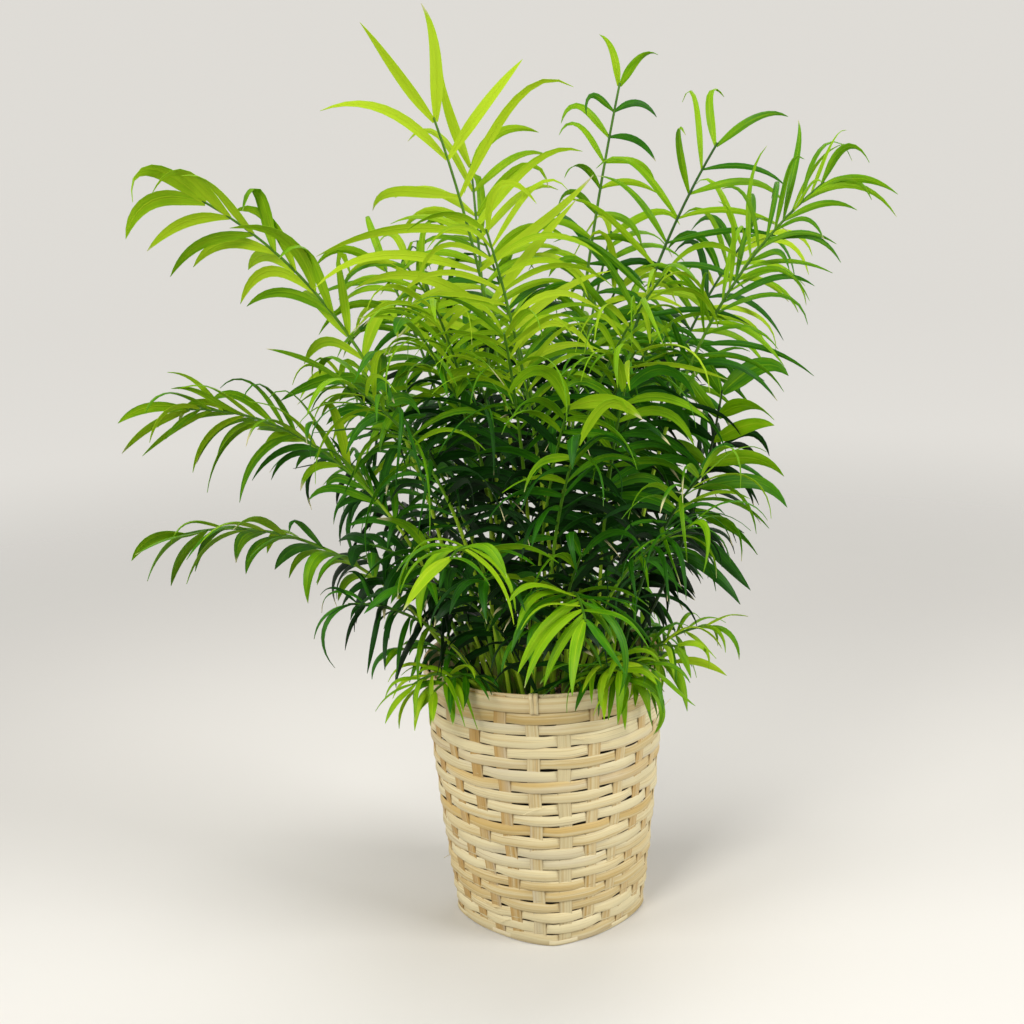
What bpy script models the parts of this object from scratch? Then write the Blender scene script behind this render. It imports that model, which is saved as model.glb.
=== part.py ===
"""A parlour palm in a woven split-bamboo basket, built as its separate pieces.

Metres, +Z up. The origin is the middle of the basket's underside and -Y is the plant's front.
Run it with: blender --background --python part.py
"""

import math
import random
from collections import defaultdict, namedtuple

import bmesh
import bpy
from mathutils import Quaternion, Vector
from mathutils.bvhtree import BVHTree

UP = Vector((0, 0, 1))
DOWN = Vector((0, 0, -1))
GAP = 0.0003  # left between pieces that touch

# Basket: a rounded square at the table that turns into a circle at the rim.
BASKET_HEIGHT = 0.194
RIM_RADIUS = 0.086
BASE_HALF_DIAGONAL = 0.0685
BASE_POWER = 1.5  # of the outline's superellipse: 2 is a circle, 1 a square standing on its corner
FLARE_POWER = 1.35  # the wall opens quickly at first and stands nearly straight at the rim
ROUND_FROM = 0.75  # share of the height above which the outline is a full circle
WALL = 0.0032  # two weavers and a stake
BASE_PLATE = 0.0024
OUTLINE_SIDES = 48
WALL_LEVELS = (0.0, 0.045, 0.095, 0.14)

# Rim: the stakes' ends stand up as a thin neck between two hoops, which three ties hold.
HOOP_HEIGHT = 0.0125
HOOP = 0.0013
NECK_OUT = 0.0010
NECK_IN = 0.0022
OUTER_HOOP_DROP = 0.0015  # the inner hoop stands this much above the outer one
TIE_ANGLES = {"front": -96, "right": 28, "left": 150}
TIE_WIDTH = 0.0064
TIE = 0.0009
SLOT_UNDER_NECK = 0.0018

# Nursery pot and its soil
POT_BOTTOM = BASE_PLATE + GAP
POT_HEIGHT = 0.165
POT_BASE_RADIUS = 0.054
POT_TOP_RADIUS = 0.0728
POT_LIP_RADIUS = 0.0765
POT_LIP_HEIGHT = 0.010
POT_WALL = 0.0014
POT_SIDES = 40
DRAIN_HOLES = 6
DRAIN_RADIUS = 0.0045
DRAIN_RING = 0.037
SOIL_TOP = 0.153
SOIL_DOME = 0.004
POCKET_DEPTH = 0.018

# Stalks and leaflets
CANE_RADIUS = 0.0040
CANE_SHARES = (0.0, 0.15, 0.3, 0.5, 0.7, 0.9, 1.0)
SHEATH_HALF_WIDTH = 0.0030
SHEATH_HALF_THICK = 0.0008
SHEATH_LENGTH = 0.012
SHEATH_SEAT = GAP + SHEATH_HALF_THICK + 0.0002
STALK_HALF_FOOT = 0.0014
STALK_HALF_TIP = 0.0007
STALK_STEPS = 40
PATH_STEPS = 16
LEAF_SECTIONS = (6, 12)  # the steps of a leaflet's path that carry a section
LEAF_HALF_THICK = 0.00045
LEAF_WIDEST = 0.34
LEAF_FOOT = 0.22
LEAF_ROOT = 0.0028  # the length of stalk a pair of leaflets grows from
TIP_BROADER = 1.25  # how much broader a frond's last two leaflets are
CLEAR = 0.0004  # kept all round a leaf or stalk while it is placed
TRIES = 30
LEAF_SEED = 200  # each frond draws its leaflets' chances from a row of its own
STALK_TRIES = 80

# A cane's foot on the soil, its height above it, and how far and which way its tip leans (degrees).
Cane = namedtuple("Cane", "x y height lean heading")
CANES = (
    Cane(-0.004, -0.010, 0.085, 4, 200),
    Cane(0.024, 0.008, 0.080, 6, 20),
    Cane(-0.024, 0.012, 0.075, 6, 160),
    Cane(0.006, 0.036, 0.070, 5, 80),
    Cane(-0.048, -0.008, 0.060, 7, 185),
    Cane(-0.030, -0.040, 0.050, 6, 232),
    Cane(0.014, -0.047, 0.055, 5, 285),
    Cane(0.046, -0.022, 0.060, 7, 335),
    Cane(0.046, 0.026, 0.055, 7, 35),
    Cane(-0.036, 0.044, 0.060, 6, 130),
)

# One row for each frond, cane by cane and from the foot up. height is the share of its cane's
# height that it springs from, and heading the way it points, from +X towards +Y, with its blade
# rolled about its stalk by roll. It leaves at lean and ends at tip_lean from the vertical, and
# turns later where late is larger. It is length long and bare of leaflets for the first bare share.
# Its leaflets hang by droop and stand off their stalk by sweep, where 1 is usual.
Frond = namedtuple(
    "Frond",
    "cane height heading roll lean tip_lean late length bare pairs leaf width droop sweep",
    defaults=[1.0, 1.0],
)
FRONDS = (
    Frond(0, 0.95, 184, 90, 2, 18, 1.6, 0.354, 0.42, 8, 0.112, 0.0094, 0.45, 0.9),
    Frond(0, 0.70, 320, 0, 7, 42, 1.6, 0.290, 0.30, 10, 0.078, 0.0068),
    Frond(0, 0.45, 250, 0, 6, 38, 1.6, 0.280, 0.28, 10, 0.080, 0.0070),
    Frond(0, 0.25, 60, 20, 8, 30, 1.6, 0.330, 0.40, 9, 0.080, 0.0068),
    Frond(1, 0.95, 12, 75, 6, 33, 1.4, 0.346, 0.42, 11, 0.078, 0.0070, 0.6, 0.85),
    Frond(1, 0.70, 140, -30, 6, 30, 1.6, 0.300, 0.42, 9, 0.078, 0.0064),
    Frond(1, 0.45, 285, 0, 8, 52, 1.6, 0.275, 0.30, 10, 0.078, 0.0070),
    Frond(1, 0.20, 62, 20, 10, 50, 1.6, 0.260, 0.32, 9, 0.076, 0.0066),
    Frond(2, 0.95, 105, 0, 5, 18, 1.6, 0.325, 0.42, 11, 0.080, 0.0072, 0.7, 1.0),
    Frond(2, 0.70, 245, 0, 8, 46, 1.6, 0.285, 0.30, 10, 0.080, 0.0070),
    Frond(2, 0.45, 20, 60, 6, 34, 1.6, 0.280, 0.32, 9, 0.078, 0.0068),
    Frond(2, 0.20, 172, 40, 12, 50, 1.6, 0.260, 0.52, 7, 0.054, 0.0066),
    Frond(3, 0.95, 26, 60, 5, 15, 1.2, 0.382, 0.58, 9, 0.048, 0.0060),
    Frond(3, 0.70, 170, -60, 8, 36, 1.6, 0.290, 0.42, 9, 0.078, 0.0066),
    Frond(3, 0.45, 100, 0, 10, 58, 1.6, 0.275, 0.34, 9, 0.078, 0.0068),
    Frond(3, 0.20, 300, 0, 7, 38, 1.6, 0.280, 0.30, 9, 0.074, 0.0066),
    Frond(4, 0.95, 180, 55, 10, 60, 1.8, 0.372, 0.40, 12, 0.080, 0.0112, 0.9, 0.6),
    Frond(4, 0.75, 176, 40, 20, 92, 1.8, 0.285, 0.36, 12, 0.066, 0.0086, 0.8, 0.5),
    Frond(4, 0.15, 120, 0, 16, 66, 1.6, 0.255, 0.36, 8, 0.072, 0.0066),
    Frond(4, 0.45, 186, 25, 30, 104, 1.5, 0.245, 0.38, 11, 0.062, 0.0090, 1.0, 0.65),
    Frond(5, 0.95, 215, 20, 8, 56, 1.6, 0.250, 0.36, 9, 0.076, 0.0071),
    Frond(5, 0.65, 257, 0, 13, 97, 1.6, 0.220, 0.58, 6, 0.062, 0.0100),
    Frond(5, 0.40, 196, 0, 26, 88, 1.6, 0.140, 0.38, 8, 0.052, 0.0064),
    Frond(5, 0.20, 226, 0, 20, 112, 1.4, 0.095, 0.42, 7, 0.044, 0.0074),
    Frond(6, 0.95, 205, 60, 3, 17, 1.6, 0.310, 0.36, 10, 0.082, 0.0070),
    Frond(6, 0.65, 272, 0, 12, 122, 1.6, 0.165, 0.50, 8, 0.066, 0.0095),
    Frond(6, 0.40, 318, 0, 16, 70, 1.6, 0.190, 0.38, 8, 0.066, 0.0068),
    Frond(6, 0.25, 300, 0, 18, 112, 1.5, 0.100, 0.42, 7, 0.044, 0.0078),
    Frond(7, 0.95, 350, 50, 10, 52, 2.0, 0.360, 0.40, 13, 0.074, 0.0072, 0.7, 0.72),
    Frond(7, 0.65, 352, 70, 30, 8, 1.2, 0.215, 0.38, 8, 0.064, 0.0096, 0.7, 1.0),
    Frond(7, 0.40, 312, 0, 14, 50, 1.6, 0.200, 0.36, 9, 0.068, 0.0066),
    Frond(7, 0.25, 345, 0, 22, 84, 1.4, 0.090, 0.42, 7, 0.044, 0.0059),
    Frond(8, 0.95, 22, 40, 10, 48, 1.8, 0.310, 0.42, 10, 0.074, 0.0066),
    Frond(8, 0.65, 75, 0, 14, 64, 1.6, 0.270, 0.38, 8, 0.072, 0.0066),
    Frond(8, 0.40, 30, 20, 14, 56, 1.6, 0.185, 0.36, 9, 0.064, 0.0064),
    Frond(8, 0.15, 50, 0, 24, 86, 1.6, 0.150, 0.38, 8, 0.052, 0.0061),
    Frond(9, 0.95, 140, -40, 9, 38, 1.6, 0.275, 0.40, 9, 0.070, 0.0064),
    Frond(9, 0.70, 88, 0, 14, 64, 1.6, 0.260, 0.38, 8, 0.072, 0.0066),
    Frond(9, 0.45, 152, 0, 22, 70, 1.6, 0.195, 0.38, 9, 0.060, 0.0064),
    Frond(9, 0.20, 118, 0, 24, 86, 1.6, 0.150, 0.38, 8, 0.052, 0.0061),
)


def blend(low, high, share):
    return low + (high - low) * share


# --- growth -------------------------------------------------------------------------------------


class Crowd:
    """The stalks and leaves placed so far, to tell whether a new one would run through them."""

    CELL = 0.03

    def __init__(self):
        self.cells = defaultdict(set)
        self.parts = []

    def _box(self, points):
        return [(min(p[k] for p in points), max(p[k] for p in points)) for k in range(3)]

    def _near(self, box):
        spans = [range(int(low // self.CELL), int(high // self.CELL) + 1) for low, high in box]
        return [(i, j, k) for i in spans[0] for j in spans[1] for k in spans[2]]

    def add(self, owner, points, faces):
        box = self._box(points)
        for cell in self._near(box):
            self.cells[cell].add(len(self.parts))
        self.parts.append((owner, box, BVHTree.FromPolygons(points, faces)))

    def clears(self, points, faces, skip=()):
        box = self._box(points)
        found = set()
        for cell in self._near(box):
            found |= self.cells.get(cell, set())
        tree = None
        for index in sorted(found):
            owner, other, other_tree = self.parts[index]
            if owner in skip or any(box[k][0] > other[k][1] or other[k][0] > box[k][1] for k in range(3)):
                continue
            tree = tree or BVHTree.FromPolygons(points, faces)
            if tree.overlap(other_tree):
                return False
        return True


def sleeve(sections):
    """Points and faces of a four-sided sleeve through sections, each four corners."""
    points = [corner for section in sections for corner in section]
    faces = [(0, 1, 2, 3)]
    for start in range(0, len(points) - 4, 4):
        for side in range(4):
            after = (side + 1) % 4
            faces.append((start + side, start + after, start + 4 + after, start + 4 + side))
    faces.append(tuple(range(len(points) - 4, len(points))))
    return points, faces


def corners(centre, across, top, half_width, half_thick):
    """The four corners of a flat section, in order round it."""
    return [
        centre + across * (a * half_width) + top * (b * half_thick)
        for a, b in ((-1, 1), (1, 1), (1, -1), (-1, -1))
    ]


class Stalk:
    """A stalk's line and, at any share of its length, the way it runs, its side and its upper side."""

    def __init__(self, foot, heading, lean, tip_lean, length, late=1.6, sway=0.0, roll=0.0, bare=1.0):
        self.length = length
        self.frames = []
        point = foot.copy()
        step = length / STALK_STEPS
        for i in range(STALK_STEPS + 1):
            share = i / STALK_STEPS
            angle = math.radians(blend(lean, tip_lean, share**late))
            turn = math.radians(heading + sway * share)
            along = Vector(
                (math.sin(angle) * math.cos(turn), math.sin(angle) * math.sin(turn), math.cos(angle))
            )
            side = Vector((-math.sin(turn), math.cos(turn), 0))
            twist = Quaternion(along, math.radians(roll) * min(share / bare, 1.0))
            self.frames.append((point.copy(), along, twist @ side, twist @ along.cross(side)))
            point += along * step

    def frame(self, share):
        place = min(max(share, 0.0), 1.0) * STALK_STEPS
        low = min(int(place), STALK_STEPS - 1)
        first, second = self.frames[low], self.frames[low + 1]
        point = first[0].lerp(second[0], place - low)
        return point, *(a.lerp(b, place - low).normalized() for a, b in zip(first[1:], second[1:]))


def cane_stalk(cane):
    foot = Vector((cane.x, cane.y, SOIL_TOP))
    return Stalk(foot, cane.heading, 0, cane.lean, cane.height)


def stalk_half(share):
    """Half the thickness of a frond's stalk."""
    return blend(STALK_HALF_FOOT, STALK_HALF_TIP, share)


def clears_basket(points):
    """Whether points keep off the table, the soil, the pot and the basket."""
    margin = 0.0022
    for point in points:
        reach = math.hypot(point.x, point.y)
        if point.z < 0.004:
            return False
        outer = wall_radius(math.atan2(point.y, point.x), min(point.z, BASKET_HEIGHT)) + margin
        inner = outer - WALL - 2 * margin - HOOP
        if point.z < BASKET_HEIGHT + margin and inner < reach < outer:
            return False
        if reach <= inner and point.z < SOIL_TOP + SOIL_DOME + margin:
            return False
        if point.z < POT_BOTTOM + POT_HEIGHT + margin and POT_TOP_RADIUS - margin < reach <= inner:
            return False
    return True


def stalk_sections(stalk, shares, half, extra=0.0):
    sections = []
    for share in shares:
        point, _, side, top = stalk.frame(share)
        size = half(share) + extra
        sections.append(corners(point, side, top, size, size))
    return sections


def frond_sections(frond, stalk, extra=0.0):
    """The sections of a frond's stalk, of which the first is the flat foot that clasps its cane."""
    sections = stalk_sections(stalk, stations(frond), stalk_half, extra)
    point, _, side, top = stalk.frame(0)
    sections[0] = corners(point, side, top, SHEATH_HALF_WIDTH + extra, SHEATH_HALF_THICK + extra)
    return sections


def pair_share(frond, index):
    """Where along its stalk a frond's pair of leaflets grows."""
    share = blend(frond.bare, 1.0, (index + 0.9) / frond.pairs)
    return min(share, 1 - LEAF_ROOT / 2 / frond.length)


def stations(frond):
    """The shares where a frond's stalk has a section. The length that ends at station 2 * index + 5 carries a pair."""
    sheath, first = SHEATH_LENGTH / frond.length, pair_share(frond, 0)
    shares = [0.0, sheath, blend(sheath, first, 0.35), blend(sheath, first, 0.7)]
    for index in range(frond.pairs):
        share, half = pair_share(frond, index), LEAF_ROOT / 2 / frond.length
        shares += [share - half, min(share + half, 1.0)]
    return shares


def leaf_path(start, aim, droop, late, swing, length):
    """A leaflet's centre line, which swings aside and bends towards the ground, nearer its tip if late is larger."""
    points = [start.copy()]
    ways = []
    for i in range(PATH_STEPS):
        share = (i + 0.5) / PATH_STEPS
        way = (aim + DOWN * (droop * share**late) + swing * share**1.5).normalized()
        ways.append(way)
        points.append(points[-1] + way * (length / PATH_STEPS))
    return points, ways


def leaf_width(share):
    """Share of a leaflet's full width: narrow at its foot, widest a third of the way out, then a point."""
    if share < LEAF_WIDEST:
        return blend(LEAF_FOOT, 1.0, math.sin(share / LEAF_WIDEST * math.pi / 2))
    return math.cos((share - LEAF_WIDEST) / (1 - LEAF_WIDEST) * math.pi / 2) ** 0.85


class Leaflet:
    """A leaflet's centre line and width, and the side of the stalk that it grows from."""

    def __init__(self, root, side, points, ways, across, width, twist):
        self.root, self.side = root, side
        self.points, self.ways = points, ways
        self.width, self.twist = width, twist
        self.across = []
        for way in ways:
            across = (across - way * across.dot(way)).normalized()
            self.across.append(across)

    def section(self, step, extra=0.0):
        share, last = step / PATH_STEPS, min(step, PATH_STEPS - 1)
        way = self.ways[last]
        across = Quaternion(way, self.twist * share) @ self.across[last]
        half = self.width / 2 * leaf_width(share)
        return corners(self.points[step], across, across.cross(way), half + extra, LEAF_HALF_THICK + extra)

    def sleeve(self):
        """The whole leaflet, a little larger all round."""
        stalk_side, top, half = self.root
        root = corners(self.points[0], stalk_side, top * self.side, LEAF_ROOT / 2 + CLEAR, half + CLEAR)
        return sleeve([root] + [self.section(step, CLEAR) for step in (*LEAF_SECTIONS, PATH_STEPS)])


def grow_leaf(frond, stalk, crowd, owner, draw, index, side):
    """The leaflet at one place on a stalk, turned and shortened until it clears the rest, or None."""
    place = (index + 0.5) / frond.pairs
    last = index == frond.pairs - 1
    share = pair_share(frond, index)
    point, along, out, top = stalk.frame(share)
    out = out * side
    half = stalk_half(share)
    start = point + out * half
    spread = (30 if last else blend(74, 42, place)) * frond.sweep
    size = 0.68 + 0.32 * math.sin(math.pi * min(0.12 + 0.78 * place, 1))
    size *= draw.uniform(0.84, 1.12)
    lift = draw.uniform(-0.15, 0.55)
    late = draw.uniform(0.8, 2.8)
    droop = draw.uniform(0.7, 1.7) * (0.6 + 0.5 * late) * frond.droop
    swing = draw.uniform(-0.5, 0.5)
    station = 2 * index + 5
    near = {(owner, k) for k in (station - 1, station, station + 1)}
    for attempt in range(TRIES):
        loose = attempt / TRIES
        angle = math.radians(max(spread + draw.uniform(-1, 1) * (15 + 25 * loose), 14))
        rise = lift + draw.uniform(-1, 1) * 0.7 * loose
        bend = droop * (1 + draw.uniform(-0.8, 0.8) * loose)
        length = frond.leaf * size * (1 - 0.45 * loose)
        width = frond.width * (0.8 + 0.2 * size) * (1 - 0.2 * loose) * (TIP_BROADER if last else 1)
        twist = math.radians(draw.uniform(-55, 55))
        aim = (along * math.cos(angle) + out * math.sin(angle) + top * rise).normalized()
        across = along * math.sin(angle) - out * math.cos(angle)
        path = leaf_path(start, aim, bend, late, across * swing, length)
        leaf = Leaflet((along, top, half), side, *path, across, width, twist)
        shape = leaf.sleeve()
        if clears_basket(leaf.points) and crowd.clears(*shape, skip=near):
            crowd.add((owner, "leaf"), *shape)
            return leaf
    return None


def grow():
    """Places every cane, then every frond's stalk, then the leaflets, none running through another."""
    draw = random.Random(7)
    crowd = Crowd()
    canes = [cane_stalk(cane) for cane in CANES]
    for index, stalk in enumerate(canes):
        crowd.add(("cane", index), *sleeve(stalk_sections(stalk, CANE_SHARES, cane_half, CLEAR)))
    stalks = [grow_stalk(frond, canes[frond.cane], crowd, draw, index) for index, frond in enumerate(FRONDS)]
    fronds = []
    for index, (frond, stalk) in enumerate(zip(FRONDS, stalks)):
        draw = random.Random(LEAF_SEED + index)
        pairs = {
            place: [grow_leaf(frond, stalk, crowd, index, draw, place, side) for side in (-1, 1)]
            for place in reversed(range(frond.pairs))
        }
        fronds.append((frond, stalk, pairs))
    return canes, fronds


def cane_half(share):
    """Half the thickness of a cane, which ends in a pointed bud."""
    return CANE_RADIUS * (1 - 0.3 * share) if share < 0.9 else CANE_RADIUS * (7.3 * (1 - share))


def grow_stalk(frond, cane, crowd, draw, index):
    """A frond's stalk, springing from the side of its cane and swung aside until it clears the rest."""
    height = frond.height * 0.88
    centre, _, _, _ = cane.frame(height)
    for attempt in range(STALK_TRIES):
        loose = attempt / STALK_TRIES
        heading = frond.heading + draw.uniform(-1, 1) * 25 * loose
        lean = max(frond.lean + draw.uniform(-1, 1) * 8 * loose, 3)
        sway = draw.uniform(-8, 8)
        roll = frond.roll + draw.uniform(-12, 12)
        turn = math.radians(heading)
        foot = centre + Vector((math.cos(turn), math.sin(turn), 0)) * (cane_half(height) + SHEATH_SEAT)
        stalk = Stalk(
            foot, heading, lean, frond.tip_lean, frond.length, frond.late, sway, roll, frond.bare
        )
        sections = frond_sections(frond, stalk, CLEAR)
        lengths = [sleeve(pair) for pair in zip(sections, sections[1:])]
        own = {("cane", frond.cane)}
        free = all(crowd.clears(*shape, skip=own if k == 0 else ()) for k, shape in enumerate(lengths))
        if free and clears_basket([f[0] for f in stalk.frames[4:]]):
            break
    else:
        print(f"frond_{index + 1:02d} found no clear way")
    for station, shape in enumerate(lengths, 1):
        crowd.add((index, station), *shape)
    return stalk


# --- solids -------------------------------------------------------------------------------------


def material(name, colour, roughness):
    made = bpy.data.materials.new(name)
    made.use_nodes = True
    shader = made.node_tree.nodes["Principled BSDF"]
    shader.inputs["Base Color"].default_value = (*colour, 1)
    shader.inputs["Roughness"].default_value = roughness
    shader.inputs["Metallic"].default_value = 0.0
    return made


def finish(name, bm, made_of, smooth_below=None):
    """Makes an object of bm, with its faces turned outwards."""
    bmesh.ops.recalc_face_normals(bm, faces=bm.faces)
    if bm.calc_volume(signed=True) < 0:
        bmesh.ops.reverse_faces(bm, faces=bm.faces)
    mesh = bpy.data.meshes.new(name)
    bm.to_mesh(mesh)
    bm.free()
    mesh.materials.append(made_of)
    if smooth_below is not None:
        mesh.shade_smooth()
        mesh.set_sharp_from_angle(angle=math.radians(smooth_below))
    obj = bpy.data.objects.new(name, mesh)
    bpy.context.scene.collection.objects.link(obj)
    return obj


def as_cutter(obj):
    obj.hide_render = True
    obj.display_type = "WIRE"
    return obj


def cut(obj, cutter):
    boolean = obj.modifiers.new("cut", "BOOLEAN")
    boolean.operation = "DIFFERENCE"
    boolean.object = cutter


def wall_radius(angle, z, inset=0.0):
    """The wall's outer radius at an angle and a height, less an inset."""
    share = z / BASKET_HEIGHT
    size = blend(RIM_RADIUS, BASE_HALF_DIAGONAL, (1 - share) ** FLARE_POWER)
    power = blend(BASE_POWER, 2.0, min(share / ROUND_FROM, 1.0))
    reach = abs(math.cos(angle)) ** power + abs(math.sin(angle)) ** power
    return size / reach ** (1 / power) - inset


def loop_of(bm, z, inset):
    """A ring of vertices on the wall's outline."""
    ring = []
    for side in range(OUTLINE_SIDES):
        angle = math.tau * side / OUTLINE_SIDES
        radius = wall_radius(angle, z, inset)
        ring.append(bm.verts.new((radius * math.cos(angle), radius * math.sin(angle), z)))
    return ring


def bridge(bm, first, second):
    for i, vert in enumerate(first):
        j = (i + 1) % len(first)
        bm.faces.new((vert, first[j], second[j], second[i]))


def outline_ring(name, profile, made_of):
    """A closed ring that follows the basket's outline, from a profile of (height, inset) points."""
    bm = bmesh.new()
    loops = [loop_of(bm, z, inset) for z, inset in profile]
    for first, second in zip(loops, loops[1:] + loops[:1]):
        bridge(bm, first, second)
    return finish(name, bm, made_of, 40)


def make_basket(bamboo, pale_bamboo):
    neck = BASKET_HEIGHT - HOOP_HEIGHT
    levels = (*WALL_LEVELS, neck)
    top = BASKET_HEIGHT - GAP
    wall = outline_ring(
        "basket_wall",
        [(z, 0.0) for z in levels]
        + [(neck, NECK_OUT), (top, NECK_OUT), (top, NECK_IN), (neck, NECK_IN)]
        + [(z, WALL) for z in reversed(levels)],
        bamboo,
    )
    bm = bmesh.new()
    lower, upper = loop_of(bm, 0.0, WALL + GAP), loop_of(bm, BASE_PLATE, WALL + GAP)
    bridge(bm, lower, upper)
    bm.faces.new(lower)
    bm.faces.new(upper)
    finish("basket_base", bm, bamboo, 40)

    def hoop(name, inset, low, high):
        profile = [(low, inset), (high, inset), (high, inset + HOOP), (low, inset + HOOP)]
        outline_ring(name, profile, pale_bamboo)

    hoop("rim_outer_hoop", NECK_OUT - GAP - HOOP, neck + GAP, BASKET_HEIGHT - OUTER_HOOP_DROP)
    hoop("rim_inner_hoop", NECK_IN + GAP, neck + GAP, BASKET_HEIGHT)
    slots = bmesh.new()
    for name, degrees in TIE_ANGLES.items():
        make_tie(f"rim_tie_{name}", math.radians(degrees), neck, pale_bamboo)
        add_slot(slots, math.radians(degrees), neck)
    cut(wall, as_cutter(finish("tie_slots", slots, bamboo)))


def make_tie(name, angle, neck, made_of):
    """A flat band round both hoops, through a slot in the wall under them."""
    out = Vector((math.cos(angle), math.sin(angle), 0))
    along = Vector((-math.sin(angle), math.cos(angle), 0))
    outer = RIM_RADIUS - (NECK_OUT - GAP - HOOP) + GAP
    inner = wall_radius(angle, neck, NECK_IN + GAP + HOOP) - GAP
    bar = neck - SLOT_UNDER_NECK / 2 + TIE / 2
    high = BASKET_HEIGHT + GAP
    bm = bmesh.new()
    rings = []
    for grow_by in (0.0, TIE):
        for side in (-1, 1):
            rings.append(
                [
                    bm.verts.new(out * r + along * (side * TIE_WIDTH / 2) + UP * z)
                    for r, z in (
                        (inner - grow_by, bar - grow_by),
                        (outer + grow_by, bar - grow_by),
                        (outer + grow_by, high + grow_by),
                        (inner - grow_by, high + grow_by),
                    )
                ]
            )
    hole_back, hole_front, rim_back, rim_front = rings
    bridge(bm, hole_back, hole_front)
    bridge(bm, hole_front, rim_front)
    bridge(bm, rim_front, rim_back)
    bridge(bm, rim_back, hole_back)
    finish(name, bm, made_of)


def add_slot(bm, angle, neck):
    """A block through the wall, just under its neck, for one tie."""
    made = bmesh.ops.create_cube(bm, size=1.0)["verts"]
    height = SLOT_UNDER_NECK + 0.0002
    bmesh.ops.scale(bm, verts=made, vec=(0.014, TIE_WIDTH + 2 * GAP, height))
    centre = Vector((RIM_RADIUS - 0.002, 0, neck + 0.0002 - height / 2))
    bmesh.ops.translate(bm, verts=made, vec=centre)
    turn = Quaternion(UP, angle).to_matrix()
    bmesh.ops.rotate(bm, verts=made, cent=(0, 0, 0), matrix=turn)


def turned(name, profile, sides, made_of):
    """A solid turned about Z from a profile of (radius, height) points that starts and ends on the axis."""
    bm = bmesh.new()
    line = [bm.verts.new((radius, 0, z)) for radius, z in profile]
    edges = [bm.edges.new(pair) for pair in zip(line, line[1:])]
    bmesh.ops.spin(
        bm, geom=line + edges, cent=(0, 0, 0), axis=(0, 0, 1), angle=math.tau, steps=sides, use_merge=True
    )
    bmesh.ops.remove_doubles(bm, verts=bm.verts, dist=1e-6)
    return finish(name, bm, made_of, 40)


def posts(name, places, radius, low, high, sides, made_of):
    """Upright pegs at places, as one cutter."""
    bm = bmesh.new()
    for x, y in places:
        made = bmesh.ops.create_cone(
            bm, cap_ends=True, segments=sides, radius1=radius, radius2=radius, depth=high - low
        )["verts"]
        bmesh.ops.translate(bm, verts=made, vec=(x, y, (low + high) / 2))
    return as_cutter(finish(name, bm, made_of))


def pot_radius(z):
    """The pot's outer radius below its lip."""
    share = (z - POT_BOTTOM) / (POT_HEIGHT - POT_LIP_HEIGHT)
    return blend(POT_BASE_RADIUS, POT_TOP_RADIUS, share)


def make_pot(plastic):
    lip = POT_BOTTOM + POT_HEIGHT - POT_LIP_HEIGHT
    top = POT_BOTTOM + POT_HEIGHT
    floor = POT_BOTTOM + POT_WALL
    pot = turned(
        "nursery_pot",
        [
            (0, POT_BOTTOM),
            (POT_BASE_RADIUS, POT_BOTTOM),
            (pot_radius(lip), lip),
            (POT_LIP_RADIUS - 0.0006, lip),
            (POT_LIP_RADIUS, top),
            (POT_LIP_RADIUS - POT_WALL, top),
            (POT_LIP_RADIUS - POT_WALL - 0.0006, lip + POT_WALL),
            (pot_radius(lip) - POT_WALL, lip + POT_WALL),
            (pot_radius(floor) - POT_WALL, floor),
            (0, floor),
        ],
        POT_SIDES,
        plastic,
    )
    ring = [math.tau * (i + 0.5) / DRAIN_HOLES for i in range(DRAIN_HOLES)]
    places = [(DRAIN_RING * math.cos(a), DRAIN_RING * math.sin(a)) for a in ring]
    holes = posts("drain_holes", places, DRAIN_RADIUS, POT_BOTTOM - 0.001, floor + 0.001, 10, plastic)
    cut(pot, holes)


def make_soil(earth):
    low = POT_BOTTOM + POT_WALL + GAP
    side = POT_WALL + 2 * GAP
    soil = turned(
        "potting_soil",
        [
            (0, low),
            (pot_radius(low) - side, low),
            (pot_radius(SOIL_TOP) - side, SOIL_TOP - 0.003),
            (0.055, SOIL_TOP),
            (0.028, SOIL_TOP + SOIL_DOME * 0.7),
            (0, SOIL_TOP + SOIL_DOME),
        ],
        POT_SIDES,
        earth,
    )
    feet = [(cane.x, cane.y) for cane in CANES]
    radius = CANE_RADIUS + GAP
    pockets = posts(
        "cane_pockets", feet, radius, SOIL_TOP - POCKET_DEPTH - GAP, SOIL_TOP + 0.02, 12, earth
    )
    cut(soil, pockets)


def make_cane(name, stalk, made_of):
    """A cane as a round rod along its line, from its buried foot to its pointed bud."""
    curve = bpy.data.curves.new(name, "CURVE")
    curve.dimensions = "3D"
    curve.bevel_depth = CANE_RADIUS
    curve.bevel_resolution = 2
    curve.use_fill_caps = True
    foot = stalk.frame(0)[0]
    points = [(foot - UP * POCKET_DEPTH, 1.0)]
    points += [(stalk.frame(share)[0], max(cane_half(share) / CANE_RADIUS, 0.08)) for share in CANE_SHARES]
    spline = curve.splines.new("POLY")
    spline.points.add(len(points) - 1)
    for point, (place, radius) in zip(spline.points, points):
        point.co = (*place, 1)
        point.radius = radius
    curve.materials.append(made_of)
    obj = bpy.data.objects.new(name, curve)
    bpy.context.scene.collection.objects.link(obj)


def extruded(bm, face, section):
    """Extrudes a four-cornered face to a section, each corner to the one it lies nearest, and gives the new face."""
    new = bmesh.ops.extrude_discrete_faces(bm, faces=[face])["faces"][0]
    verts = list(new.verts)
    shift = sum(section, Vector()) / 4 - new.calc_center_median()
    orders = [line[k:] + line[:k] for line in (section, section[::-1]) for k in range(4)]
    places = min(
        orders, key=lambda order: sum((v.co + shift - p).length_squared for v, p in zip(verts, order))
    )
    for vert, place in zip(verts, places):
        vert.co = place
    return new


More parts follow.
